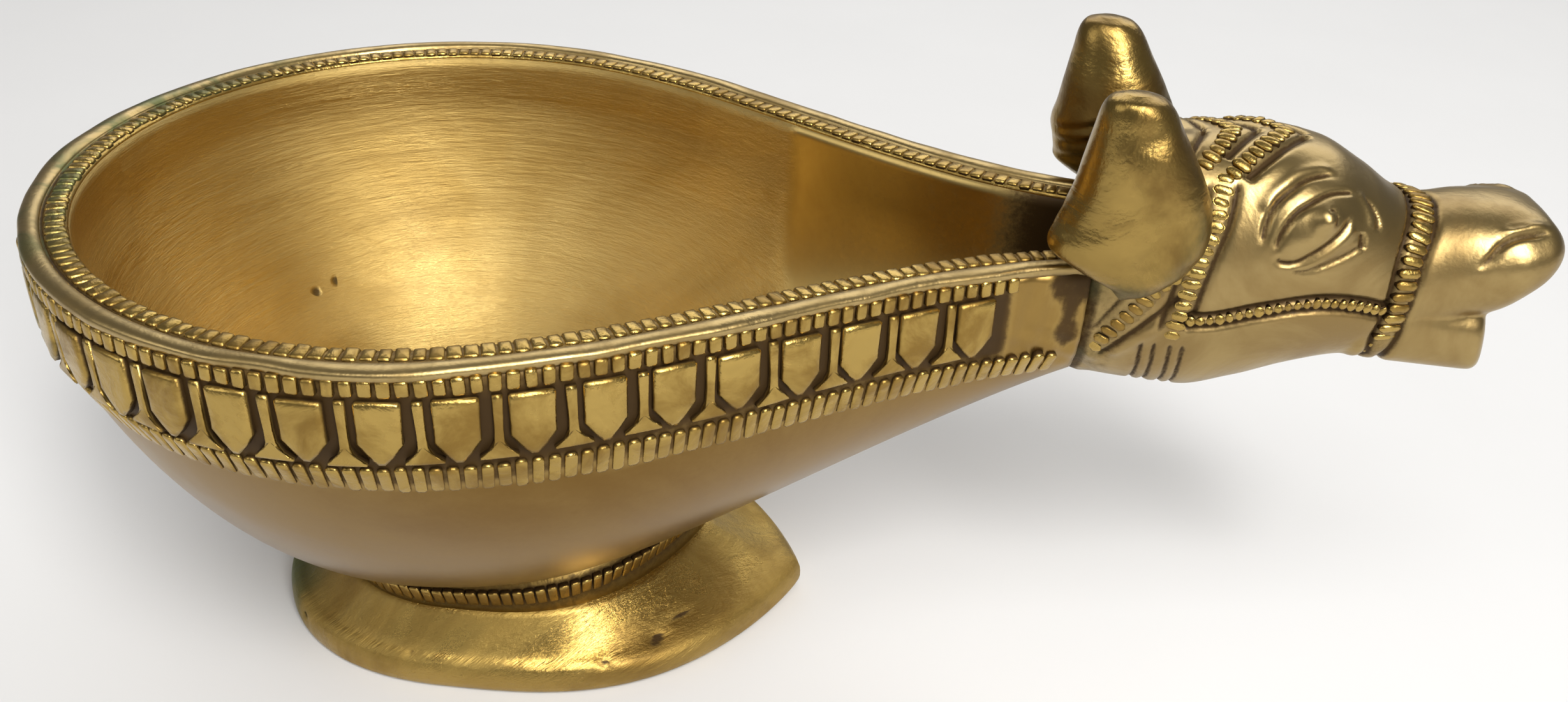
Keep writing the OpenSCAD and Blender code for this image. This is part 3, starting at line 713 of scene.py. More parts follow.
def smooth_noise(count, waves, seed):
    """A gentle random line, the same each time, between -1 and 1."""
    rng = np.random.default_rng(seed)
    knots = rng.uniform(-1, 1, waves + 4)
    place = np.linspace(1, waves + 2, count)
    low = np.floor(place).astype(int)
    blend = ease(place - low)
    return knots[low] * (1 - blend) + knots[low + 1] * blend


def rim_line(out, z):
    """A line along the whole rim, at a distance out from the inner face and at height z."""
    return np.stack([PLAN[:, 0] + PLAN[:, 2] * out + AXIS_X, PLAN[:, 1] + PLAN[:, 3] * out,
                     np.broadcast_to(z, len(PLAN))], 1)


def ring_along_rim(name, section, values):
    """The section holds a distance out and a height for each corner, either one number or
    one for every place of the plan. The values are one for each corner."""
    grid = np.array([rim_line(out, z) for out, z in section]).transpose(1, 0, 2)
    places, sides = grid.shape[:2]
    shown = {key: np.tile(row, places) for key, row in values.items()}
    ring = mesh_object(name, grid.reshape(-1, 3), tube_faces(places, sides), shown)
    tidy(ring)


# %% The lip and the bed of the milled strip
LIP_INNER, LIP_RISE, LIP_STEPS = 2.15, 0.62, 12


def make_lip():
    count = len(PLAN)
    wander = 0.18 * smooth_noise(count, 26, 3) + 0.10 * smooth_noise(count, 70, 4)
    edge = LIP_R - 0.22 + np.minimum(wander, 0.2)
    dip = 0.08 * smooth_noise(count, 40, 5)
    middle, half = (edge + LIP_INNER) / 2, (edge - LIP_INNER) / 2
    section = [(2.0, WALL_TOP - 0.1), (2.0, RIM_Z - 0.55)]
    for turn in (math.pi * k / LIP_STEPS for k in range(LIP_STEPS + 1)):
        rise = LIP_RISE * math.sin(turn)**0.75 + (dip - 0.08) * math.sin(turn)
        section.append((middle - half * math.cos(turn), RIM_Z - LIP_RISE + rise))
    section += [(edge - 0.05, RIM_Z - 0.85), (edge - 0.30, RIM_Z - 1.20),
                (WALL - 0.2, RIM_Z - 1.35)]
    # Painted shade with patina: dark on the lip's inner face by the strip and under its overhang
    dark = [1.0, 0.9, 0.75, 0.25] + [0.0] * (LIP_STEPS - 1) + [0.1, 0.55, 1.0]
    ring_along_rim("rim_lip_filed", section, {"groove": dark})
    tarnish_back(bpy.data.objects["rim_lip_filed"])


def make_strip_bed():
    foot = WALL_TOP - 0.1
    section = [(0.0, foot), (0.02, RIM_Z - 0.75), (0.25, RIM_Z - 0.55), (0.8, RIM_Z - 0.45),
               (1.5, RIM_Z - 0.45), (2.05, RIM_Z - 0.6), (2.05, foot)]
    ring_along_rim("rim_strip_bed", section, {"groove": [0.1, 0.2, 0.5, 0.62, 0.62, 0.75, 0.8]})


make_lip()
finish_piece("rim_lip_filed", LIP, ("rim_lip",))
make_strip_bed()
finish_piece("rim_strip_bed", WORKED, ("rim_milled_edge",))

# %% [markdown]
# ## Rows of small repeated shapes
#
# The milled blocks, the shields, the bars between them and the beads of the headstall all
# repeat along a line. Geometry Nodes do that: the tree resamples the line into a number of
# places, puts one small shape on each of them, turns it to follow the line and to face out of
# the metal, and gives it a little random size and turn, as punching by hand does. A line is a
# chain of points that carries its outward direction as an attribute called "out".


# %% The tree that sets out a row
def make_row_tree():
    tree = bpy.data.node_groups.new("row_along_a_line", "GeometryNodeTree")
    face = tree.interface
    face.new_socket("Line", in_out="INPUT", socket_type="NodeSocketGeometry")
    for title, kind, value in [("Shape", "NodeSocketObject", None),
                               ("Count", "NodeSocketInt", 100), ("Size wobble", FLOAT, 0.06),
                               ("Turn wobble", FLOAT, 0.05), ("Seed", "NodeSocketInt", 1),
                               ("Finish", "NodeSocketMaterial", None)]:
        socket = face.new_socket(title, in_out="INPUT", socket_type=kind)
        if value is not None:
            socket.default_value = value
    face.new_socket("Row", in_out="OUTPUT", socket_type="NodeSocketGeometry")
    given = tree.nodes.new("NodeGroupInput").outputs
    result = tree.nodes.new("NodeGroupOutput")
    curve = node(tree, "GeometryNodeMeshToCurve", {0: given["Line"]})
    even = node(tree, "GeometryNodeResampleCurve", {"Curve": curve.outputs[0],
                "Count": given["Count"]})
    along = node(tree, "GeometryNodeInputTangent")
    out = node(tree, "GeometryNodeInputNamedAttribute", {"Name": "out"},
               data_type="FLOAT_VECTOR")
    first = node(tree, "FunctionNodeAlignRotationToVector", {"Vector": along.outputs[0]},
                 axis="X")
    second = node(tree, "FunctionNodeAlignRotationToVector",
                  {"Rotation": first.outputs[0], "Vector": out.outputs[0]}, axis="Z",
                  pivot_axis="X")
    size = node(tree, "FunctionNodeRandomValue", {"Seed": given["Seed"]},
                data_type="FLOAT_VECTOR")
    tilt = node(tree, "FunctionNodeRandomValue", {"Seed": given["Seed"]},
                data_type="FLOAT_VECTOR")
    for made, middle, wobble in ((size, 1.0, given["Size wobble"]),
                                 (tilt, 0.0, given["Turn wobble"])):
        tree.links.new(math_node(tree, "SUBTRACT", middle, wobble), made.inputs["Min"])
        tree.links.new(math_node(tree, "ADD", middle, wobble), made.inputs["Max"])
    swing = node(tree, "FunctionNodeEulerToRotation", {0: tilt.outputs[0]})
    turned = node(tree, "FunctionNodeRotateRotation", {0: second.outputs[0],
                  1: swing.outputs[0]}, rotation_space="LOCAL")
    shape = node(tree, "GeometryNodeObjectInfo", {"Object": given["Shape"]})
    placed = node(tree, "GeometryNodeInstanceOnPoints", {"Points": even.outputs[0],
                  "Instance": shape.outputs["Geometry"], "Rotation": turned.outputs[0],
                  "Scale": size.outputs[0]})
    real = node(tree, "GeometryNodeRealizeInstances", {0: placed.outputs[0]})
    coloured = node(tree, "GeometryNodeSetMaterial", {"Geometry": real.outputs[0],
                    "Material": given["Finish"]})
    tree.links.new(coloured.outputs[0], result.inputs[0])
    return tree


ROW_TREE = make_row_tree()
print("inputs of the row tree:", [s.name for s in ROW_TREE.interface.items_tree
                                  if s.in_out == "INPUT"])


def socket_id(tree, title):
    """A modifier's input goes by its socket's identifier, not by its name."""
    return next(s.identifier for s in tree.interface.items_tree
                if s.item_type == "SOCKET" and s.in_out == "INPUT" and s.name == title)


# %% Running the tree on one line
def keep_result(rough, name):
    """A plain mesh of what an object's modifiers make; the object itself is removed."""
    ready = rough.evaluated_get(bpy.context.evaluated_depsgraph_get())
    made = place_mesh(name, bpy.data.meshes.new_from_object(ready))
    bpy.data.objects.remove(rough)
    return made


def lay_row(name, line, out, shape, pitch, replaced=(), *, seed, size=0.06, turn=0.05,
            count=None):
    """Runs the tree on one line: shapes a pitch apart, or a count of them."""
    chain = mesh_object(name + "_line", line, [],
                        edges=[(i, i + 1) for i in range(len(line) - 1)])
    layer = chain.data.attributes.new("out", "FLOAT_VECTOR", "POINT")
    layer.data.foreach_set("vector", np.asarray(out, dtype=np.float32).ravel())
    modifier = chain.modifiers.new("row", "NODES")
    modifier.node_group = ROW_TREE
    count = count or int(round(running_length(line)[-1] / pitch)) + 1
    for title, value in {"Shape": shape, "Count": count, "Size wobble": size,
                         "Turn wobble": turn, "Seed": seed, "Finish": WORKED}.items():
        modifier[socket_id(ROW_TREE, title)] = value
    tarnish_back(keep_result(chain, name))
    finish_piece(name, WORKED, replaced)


# %% [markdown]
# The repeated shapes themselves are small pillows with few faces: a flat foot that is sunk in
# the metal, steep sides, and a crowned top. The "groove" value is one at the foot and
# falls to nothing at the top: patina between the blocks, and painted shade down their sides,
# while the crowns stay bright.


# %% Small shapes for the rows
def pillow(name, outline, height, crown, bevel, foot=-0.3, tilt=0.0):
    """A block over a closed outline of (along, across) points. tilt lowers its -across end.
    Only the rows copy it, so it is taken out of the scene."""
    outline = np.array(outline, float)
    middle = outline.mean(0)
    reach = np.abs(outline[:, 1]).max()
    rings, dark = [], []
    # The last number of each ring is patina at the foot and painted shade up the sides
    for share, z, shade in [(1.0, foot, 1.0), (1.0, 0.05, 1.0), (1.0, height - bevel, 0.35),
                            (1 - bevel * 0.55, height - bevel * 0.25, 0.0),
                            (1 - bevel * 1.6, height, 0.0), (0.35, height + crown * 0.5, 0.0)]:
        ring = middle + (outline - middle) * share
        level = np.full(len(ring), z)
        if z > 0:
            level = level * (1 - tilt * (0.5 - ring[:, 1] / reach / 2))
        rings.append(np.column_stack([ring, level]))
        dark += [shade] * len(ring)
    points = np.concatenate(rings + [[[middle[0], middle[1], (height + crown * 0.6)
                                       * (1 - tilt * 0.5)]]])
    dark.append(0.0)
    sides = len(outline)
    faces = grid_faces(len(rings), sides, close_columns=True)
    faces.append(tuple(range(sides))[::-1])
    top = (len(rings) - 1) * sides
    faces += [(top + j, top + (j + 1) % sides, len(points) - 1) for j in range(sides)]
    made = tidy(mesh_object(name, points, faces, {"groove": dark}), reach=0.0001)
    bpy.context.collection.objects.unlink(made)
    return made


def rounded_block(width, tall, corner):
    """The outline of a block with cut corners."""
    w, t = width / 2, tall / 2
    c = min(corner, w * 0.8, t * 0.8)
    return [(w, -t + c), (w, t - c), (w - c, t), (-w + c, t), (-w, t - c), (-w, -t + c),
            (-w + c, -t), (w - c, -t)]


# %% [markdown]
# ### The milled strip on top of the rim
#
# The blocks on the strip lie flat, so their line faces straight up.


# %% The blocks of the rim
rim_block = pillow("rim_block_shape", rounded_block(1.06, 1.66, 0.14), 0.27, foot=-0.2,
                   crown=0.10, bevel=0.2)
line = rim_line(1.0, RIM_Z - 0.55)
up = np.tile([0.0, 0.0, 1.0], (len(PLAN), 1))
lay_row("rim_milled_blocks", line, up, rim_block, 1.24, size=0.10, seed=5)

# %% [markdown]
# ### The bands on the outside
#
# From the lip down there is a row of small upright blocks, a row of shields with pointed feet,
# a raised bar with a spreading foot between each two shields, and a second row of blocks whose
# lower ends run out into the smooth belly.


# %% Lines on the wall
def wall_line(z, lift=0.0, trim=0.0):
    """A level line on the outside of the wall, and the way out of the wall along it."""
    spots = wall_point(PLAN, z, WALL)
    normal = wall_normal(PLAN, z, WALL)
    spots = spots + normal * lift
    run = running_length(spots)
    keep = (run >= trim) & (run <= run[-1] - trim)
    return spots[keep], normal[keep]


RELIEF = 0.62
upper_block = pillow("upper_block_shape", rounded_block(0.98, 1.5, 0.14), RELIEF * 0.8,
                     crown=0.06, bevel=0.2)
upper_mid = (upper_band_low + WALL_TOP) / 2 - 0.05
line, out = wall_line(upper_mid, trim=7.0)
lay_row("upper_blocks", line, out, upper_block, 1.32, ("upper_milled_band",), size=0.09, seed=7)

lower_tall = lower_band_top - lower_band_low
lower_block = pillow("lower_block_shape", rounded_block(0.95, lower_tall, 0.22), RELIEF * 0.8,
                     crown=0.05, bevel=0.2, tilt=0.75)
line, out = wall_line((lower_band_low + lower_band_top) / 2, lift=-0.05, trim=2.2)
lay_row("lower_blocks", line, out, lower_block, 1.28, ("lower_milled_band",), turn=0.03, seed=9)

# %% The shields and the bars between them
PITCH, GAP, PLAIN_END = 5.6, 2.1, 5
shield_tall = panel_top - panel_low
half_w, half_t = (PITCH - GAP) / 2, shield_tall / 2
shoulder = -half_t + shield_tall * 0.34
FLANK_DROP = 0.14
flank = -half_t + shield_tall * FLANK_DROP
shield = pillow("shield_shape", [
    (half_w, shoulder), (half_w * 0.98, 0), (half_w, half_t - 0.15), (half_w - 0.2, half_t),
    (0, half_t), (-half_w + 0.2, half_t), (-half_w, half_t - 0.15), (-half_w * 0.98, 0),
    (-half_w, shoulder), (-half_w * 0.55, flank), (-0.25, -half_t), (0.25, -half_t),
    (half_w * 0.55, flank)], RELIEF, crown=0.05, bevel=0.2)
middle = (panel_low + panel_top) / 2
line, out = wall_line(middle)
length = running_length(line)[-1]
pairs = int((length / 2 - PLAIN_END) // PITCH)
line, out = wall_line(middle, trim=length / 2 - pairs * PITCH)
lay_row("shields", line, out, shield, PITCH, ("shield_panels",), size=0.035, turn=0.03,
        seed=11, count=2 * pairs + 1)

bar_half, spread_half = 0.40, 1.5
bar = pillow("bar_shape", [
    (bar_half, -half_t + 1.5), (bar_half * 0.9, 0), (bar_half, half_t), (-bar_half, half_t),
    (-bar_half * 0.9, 0), (-bar_half, -half_t + 1.5), (-0.8, -half_t + 0.62),
    (-spread_half, -half_t + 0.12), (-spread_half, -half_t - 0.1), (0, -half_t - 0.12),
    (spread_half, -half_t - 0.1), (spread_half, -half_t + 0.12), (0.8, -half_t + 0.62)],
    RELIEF * 0.8, crown=0.0, bevel=0.14)
line, out = wall_line(middle, trim=length / 2 - (pairs - 0.5) * PITCH)
lay_row("shield_bars", line, out, bar, PITCH, size=0.04, turn=0.03, seed=13, count=2 * pairs)

# %% [markdown]
# ## The foot
#
# The foot is a leaf in plan: a round back and a blunt point below the channel. It was cast
# hollow and filed by hand, so its flare carries slanted scratches, and some pits of the casting
# stayed. A collar with punched slots joins it to the belly.

# %% The foot's outline
foot_low, foot_high = box_mm("foot")
collar_low, collar_high = box_mm("foot_collar")
FOOT_MID = 2.5
LEAF_POWER = 0.88
FOOT_HALF = foot_high[1]
COLLAR_HALF = collar_high[1]


def leaf(k, half, back, front):
    """The leaf's outline for k from 0 at the back, 0.5 at the sides, to 1 at the point."""
    angle = np.pi * np.minimum(k, 0.5)
    forward = 2 * np.maximum(k, 0.5) - 1
    x = FOOT_MID - back * np.cos(angle)**LEAF_POWER + front * forward
    y = half * np.where(k < 0.5, np.sin(angle), 1 - forward**3.0)**LEAF_POWER
    return x, y


def leaf_ring(half, back, front, z, inset):
    """The whole outline at height z, drawn in by an inset."""
    k = np.concatenate([0.5 * (1 - np.cos(np.linspace(0, np.pi / 2, 60)))**0.8,
                        np.linspace(0.5, 1, 91)[1:]])
    x, y = leaf(k, half - inset, back - inset, front - inset * 1.3)
    x, y = np.concatenate([x, x[-2:0:-1]]), np.concatenate([y, -y[-2:0:-1]])
    return np.stack([x + AXIS_X, y, np.broadcast_to(z, len(x))], 1)


FOOT_BACK = AXIS_X + FOOT_MID - foot_low[0]
FOOT_FRONT = foot_high[0] - AXIS_X - FOOT_MID
COLLAR_BACK = AXIS_X + FOOT_MID - collar_low[0]
COLLAR_FRONT = collar_high[0] - AXIS_X - FOOT_MID


def foot_ring(z, inset):
    return leaf_ring(FOOT_HALF, FOOT_BACK, FOOT_FRONT, z, inset)


def collar_ring(z, inset=0.0):
    return leaf_ring(COLLAR_HALF, COLLAR_BACK, COLLAR_FRONT, z, inset)


def mix(a, b, k):
    return a * (1 - k) + b * k


# %% The foot
# Holes left by the casting on the right edge: place along, height, half length, half height
CASTING_HOLES = [(22.5, 3.5, 0.75, 0.30), (18.0, 3.2, 0.35, 0.25), (24.5, 4.1, 1.0, 0.12),
                 (-1.0, 3.3, 0.35, 0.20), (-14.0, 2.2, 0.4, 0.25)]


def make_foot():
    top, edge, flare_steps = foot_high[2], 3.4, 14
    # The last number of each row is painted shade under the foot, fading up its rolled edge
    rolled = [(0, 4.4, 0.8), (0, 2.4, 0.5), (0, 0.9, 0.3), (0.15, 0.35, 0.2), (0.5, 0.08, 0.05),
              (1.0, 0, 0), (1.7, 0, 0), (2.3, 0.06, 0), (2.8, 0.22, 0), (3.15, 0.5, 0)]
    rings = [foot_ring(z, inset) for z, inset, _ in rolled]
    dark = [shade for _, _, shade in rolled]
    for k in (r / flare_steps for r in range(1, flare_steps + 1)):
        z = edge + (top - edge) * k**1.7
        rings.append(mix(foot_ring(z, 0.8), collar_ring(z), k))
        # Painted shade where the flare meets the collar
        dark.append(0.0 if k < 0.96 else 0.3)
    rings += [collar_ring(top, 1.5), collar_ring(top, 3.0)]
    rings += [mix(rings[-1], rings[0], k) for k in (0.3, 0.6, 0.85)]
    # Painted shade inside the hollow of the foot
    dark += [1, 1, 1, 1, 0.9]
    grid = np.array(rings)
    rng = np.random.default_rng(21)
    for _ in range(9):
        spot = grid[rng.integers(4, 20), rng.integers(0, grid.shape[1])]
        gap = np.linalg.norm(grid - spot, axis=2)
        grid[4:22, :, 2] -= 0.10 * np.exp(-(gap[4:22] / 1.6)**2)
    points = grid.reshape(-1, 3)
    faces = grid_faces(grid.shape[0], grid.shape[1], True, True)
    x, y, z = points.T
    green = ease((AXIS_X - 10 - x) / 9) * ease((12 - z) / 6) * 0.9
    groove = np.repeat(dark, grid.shape[1]).astype(float)
    for cast_x, cast_z, long, wide in CASTING_HOLES:
        gap = np.hypot((x - AXIS_X - cast_x) / long, (z - cast_z) / wide)
        hole = np.exp(-gap**2) * (y < 0)
        groove = np.maximum(groove, 1.1 * hole)
        points[:, 1] += 0.5 * hole
    tidy(mesh_object("foot_cast", points, faces, {"groove": groove, "green": green}))


make_foot()
finish_piece("foot_cast", FILED, ("foot",))


# %% [markdown]
# ### The collar
#
# The collar is a low wall between the foot and the belly. Narrow slots were punched round it.
# It is made as a dark bed with a row of blocks in front.


# %% Height of the belly above a place on the table
def belly_above(spots):
    """The height of the bowl's underside over each (x, y)."""
    x, y = spots[:, 0] - AXIS_X, np.abs(spots[:, 1])
    along = np.maximum(0, x)
    k = np.clip((x - TURN_X) / CHANNEL_L, 0, 1)
    inner = np.where(x < TURN_X, np.sqrt(np.maximum(0, BOWL_R**2 - x**2)), channel_side(k))
    slant = np.where(x < TURN_X, 1.0, np.sqrt(1 + channel_slope(k)**2))
    half = np.where(x < 0, WALL_R, inner + WALL * slant)
    share = np.clip(np.where(x < 0, np.hypot(x, y), y) / half, 0, 1)
    sharp, root = profile_powers(along)
    fallen = (1 - share**(1 / root))**(1 / sharp)
    return BELLY_Z - (BELLY_Z - keel_z(along)) * fallen


def make_collar_bed():
    top = foot_high[2]
    edges = []
    for inset in (0.30, 3.0):
        low = collar_ring(top - 0.3, inset)
        edges += [low, np.column_stack([low[:, :2], belly_above(low) + 0.15])]
    low_out, high_out, low_in, high_in = edges
    grid = np.array([low_out, mix(low_out, high_out, 0.5), high_out, high_in, low_in])
    faces = grid_faces(5, grid.shape[1], True, True)
    tidy(mesh_object("collar_bed", grid.reshape(-1, 3), faces,
                     {"groove": np.repeat([0.3, 1, 0.3, 1, 1], grid.shape[1])}))


make_collar_bed()
finish_piece("collar_bed", WORKED, ("foot_collar",))

# %% The blocks of the collar, which lean a little towards the table
slot_line = collar_ring(foot_high[2], 0.18)
slot_line[:, 2] = (belly_above(slot_line) + foot_high[2]) / 2 - 0.1
sideways = np.gradient(np.concatenate([slot_line[-1:], slot_line, slot_line[:1]]), axis=0)[1:-1]
slot_out = np.stack([sideways[:, 1], -sideways[:, 0], 0 * sideways[:, 0]], 1)
slot_out /= np.linalg.norm(slot_out, axis=1)[:, None]
if slot_out[0, 0] > 0:
    slot_out = -slot_out
slot_out += [0, 0, -0.35]
slot_out /= np.linalg.norm(slot_out, axis=1)[:, None]
half_ring = len(slot_line) // 2
order = np.concatenate([np.arange(half_ring, len(slot_line)), np.arange(0, half_ring + 1)])
collar_block = pillow("collar_block_shape", rounded_block(0.92, 2.3, 0.12), 0.26, foot=-0.3,
                      crown=0.04, bevel=0.12)
line = slot_line[order][::-1]
lay_row("collar_blocks", line, slot_out[order][::-1], collar_block, 1.12, size=0.08, turn=0.04,
        seed=15)

# %% [markdown]
# ## The head
#
# The head was cast on its own, hollow at the back, and brazed to the end of the channel. Its
# body is a loft through sections that are a little squarer than ovals. The lower jaw is a
# second loft that runs into the first. A voxel remesh joins the two into one skin, a smoothing
# pass rounds the join as wax would, and the chased details are then pushed into that skin.


# %% Curves through a few places
def smooth_between(x, y, at):
    """A cubic through the given values that never swings past them."""
    x, y = np.asarray(x, float), np.asarray(y, float)
    step, rise = np.diff(x), np.diff(y) / np.diff(x)
    slope = np.zeros(len(x))
    same = rise[:-1] * rise[1:] > 0
    mean = 2 * rise[:-1] * rise[1:] / np.where(same, rise[:-1] + rise[1:], 1)
    slope[1:-1] = np.where(same, mean, 0)
    slope[0], slope[-1] = rise[0], rise[-1]
    i = np.clip(np.searchsorted(x, at) - 1, 0, len(x) - 2)
    k = np.clip((at - x[i]) / step[i], 0, 1)
    return hermite(k, y[i], y[i + 1], step[i] * slope[i], step[i] * slope[i + 1])


def curve_through(values, at):
    """A flowing curve through evenly numbered values, for at from 0 to their number less one."""
    values = np.asarray(values, float)
    slope = np.gradient(values)
    i = np.clip(np.floor(at).astype(int), 0, len(values) - 2)
    k = at - i
    return hermite(k, values[i], values[i + 1], slope[i], slope[i + 1])


def power(value, exponent):
    """A power that keeps the sign: it turns a circle into a squarer or leaner oval."""
    return np.sign(value) * np.abs(value)**exponent


HEAD_L = head_high[0] - NECK_X
WIDEST = 1.03
HEAD_HALF = head_high[1] / WIDEST
OVAL_POWER = 2.3
SQUARE = 2 / OVAL_POWER
# Along the head: share of its length, then top, bottom and half width as shares
STATIONS = np.array([
    (0.00, 0.92, -0.95, 0.90), (0.12, 1.02, -0.98, 1.00), (0.25, 1.07, -1.00, WIDEST),
    (0.36, 1.10, -0.88, WIDEST), (0.47, 1.05, -0.72, 0.98), (0.57, 0.88, -0.62, 0.88),
    (0.66, 0.69, -0.58, 0.76), (0.72, 0.655, -0.42, 0.70), (0.80, 0.70, -0.25, 0.72),
    (0.88, 0.715, -0.13, 0.73), (0.94, 0.68, 0.05, 0.66), (0.98, 0.58, 0.21, 0.48),
    (1.00, 0.44, 0.35, 0.12)])


def head_section(t):
    """Top, bottom and half width of the head at a share t of its length."""
    top, low, half = (smooth_between(STATIONS[:, 0], STATIONS[:, c], t) for c in (1, 2, 3))
    return HEAD_MID_Z + HEAD_TALL * top, HEAD_MID_Z + HEAD_TALL * low, HEAD_HALF * half


def head_point(t, angle):
    """A point on the head's right side: angle 0 at the cheek, 90 on top, -90 below."""
    t, angle = np.asarray(t, float), np.radians(np.asarray(angle, float))
    top, low, half = head_section(t)
    return np.stack([NECK_X + HEAD_L * t, -half * power(np.cos(angle), SQUARE),
                     (top + low) / 2 + (top - low) / 2 * power(np.sin(angle), SQUARE)], -1)


# %% The plain body of the head
SIDES = 96
AROUND = np.linspace(0, 2 * np.pi, SIDES, endpoint=False)


def head_ring(x, half, low, top, exponent=SQUARE):
    angle = AROUND
    return np.stack([np.full(SIDES, x), half * power(np.cos(angle), exponent),
                     (top + low) / 2 + (top - low) / 2 * power(np.sin(angle), exponent)], 1)


def closed_loft(rings):
    return np.concatenate(rings), tube_faces(len(rings), len(rings[0]))


HOLLOW_DEEP = 8


def head_body():
    """The first rings are the hollow at the back, from its floor to its mouth."""
    low, top = NECK_UNDER_Z + WALL, head_section(0.0)[0] - WALL
    back = NECK_X + HOLLOW_DEEP
    rings = [head_ring(back, 3.3, low + 2, top - 3), head_ring(back - 1.5, 5.0, low + 0.6, top - 1),
             head_ring(NECK_X + 0.05, 5.5, low, top)]
    for s in np.linspace(0, 1, 110):
        t = 1 - (1 - s)**1.4
        tall_top, tall_low, half = head_section(t)
        rings.append(head_ring(NECK_X + HEAD_L * t, half, tall_low, tall_top))
    return closed_loft(rings)


def jaw_body():
    """The jaw's lower corner reaches a little forward, and its end is rounded."""
    rings = []
    for k in np.linspace(0, 1, 26):
        t = mix(0.60, 0.885, k)
        end = math.sqrt(max(0.0, 1 - max(0.0, (k - 0.9) / 0.1)**2 * 0.55))
        low = mix(37.3, 36.5, k)
        top = mix(45.5, 44.0, k)
        ring = head_ring(NECK_X + HEAD_L * t, mix(6.9, 5.9, k) * end,
                         mix(low, low + 1.0, 1 - end), top, 2 / 3.0)
        ring[:, 0] += max(0.0, k - 0.6) * 1.6 * np.clip((41.0 - ring[:, 2]) / 4.0, -0.5, 1)
        rings.append(ring)
    return closed_loft(rings)


VOXEL, SMOOTH_ROUNDS = 0.27, 9


def join_skins(name, bodies):
    """Joins overlapping closed skins into one by a voxel remesh, then smooths it."""
    points, faces, start = [], [], 0
    for body_points, body_faces in bodies:
        points.append(body_points)
        faces += [tuple(i + start for i in face) for face in body_faces]
        start += len(body_points)
    rough = mesh_object(name + "_rough", np.concatenate(points), faces)
    tidy(rough)
    remesh = rough.modifiers.new("one_skin", "REMESH")
    remesh.mode, remesh.voxel_size = "VOXEL", VOXEL * MM
    smooth = rough.modifiers.new("round_the_join", "SMOOTH")
    smooth.factor, smooth.iterations = 0.5, SMOOTH_ROUNDS
    return keep_result(rough, name)


head = join_skins("head_cast", [head_body(), jaw_body()])
print("head skin: %d points" % len(head.data.vertices))

# %% [markdown]
# ### The horns and ears
#
# Each horn stands on a leaf-shaped ear that lies back over the cheek, and the two are one
# smooth mass. Level ovals, from the ear's lower edge to the blunt tip of the horn, give it its
# shape. Where the mass leaves the head there is a crease, and the crease and the ear's
# underside are painted dark as shade.

# %% The masses of horn and ear
HORN_TIP_Z = box_mm("horn_left")[1][2]
# Height, middle along the lamp (from the bowl's axis), half length, half thickness, side
LOBE = np.array([
    (45.7, 61.6, 0.9, 0.6, 10.6), (46.3, 61.6, 2.9, 1.5, 10.5), (47.3, 61.6, 4.6, 2.3, 10.3),
    (48.6, 61.7, 6.1, 3.0, 10.1), (50.2, 62.2, 6.6, 3.6, 9.8), (52.0, 62.6, 6.35, 3.9, 9.5),
    (54.0, 62.7, 5.8, 4.0, 9.4), (57.0, 62.2, 4.8, 3.7, 9.5), (60.0, 61.5, 3.65, 3.0, 9.7),
    (61.8, 61.1, 2.95, 2.4, 9.9), (62.7, 60.9, 2.2, 1.8, 10.0), (63.1, 60.8, 1.0, 0.8, 10.0)])
LOBE_LOW, LOBE_TALL = LOBE[0, 0], LOBE[-1, 0] - LOBE[0, 0]
LOBE[:, 0] = LOBE_LOW + (LOBE[:, 0] - LOBE_LOW) * (HORN_TIP_Z - LOBE_LOW) / LOBE_TALL
LOBE[:, 1] += AXIS_X


def lobe_at(z):
    """Middle, half length, half thickness and side of the mass at height z."""
    return [smooth_between(LOBE[:, 0], LOBE[:, c], z) for c in (1, 2, 3, 4)]


def lobe_rings(side):
    """Level ovals, crowded at both ends; the lower ones lean back towards the cheek."""
    across, along = power(np.sin(AROUND), 0.95), power(np.cos(AROUND), 0.92)
    rings = []
    for s in np.linspace(0, 1, 90):
        z = LOBE[0, 0] + (LOBE[-1, 0] - LOBE[0, 0]) * (0.5 - 0.5 * math.cos(math.pi * s))
        middle, length, thick, out = lobe_at(z)
        ring = np.stack([middle + length * along, side * (out + thick * across),
                         np.full(SIDES, z)], 1)
        if side > 0:
            ring[:, 0] += ease((54 - z) / 5) * (0.95 - 0.17 * (ring[:, 0] - middle))
        ring[:, 2] -= ease((52 - z) / 6) * 0.99 * along
        rings.append(ring)
    return rings


LOBE_FACE = 9.5
LOBE_RIDGES = ((50.6, 0.5), (52.4, 0.55), (54.0, 0.6))


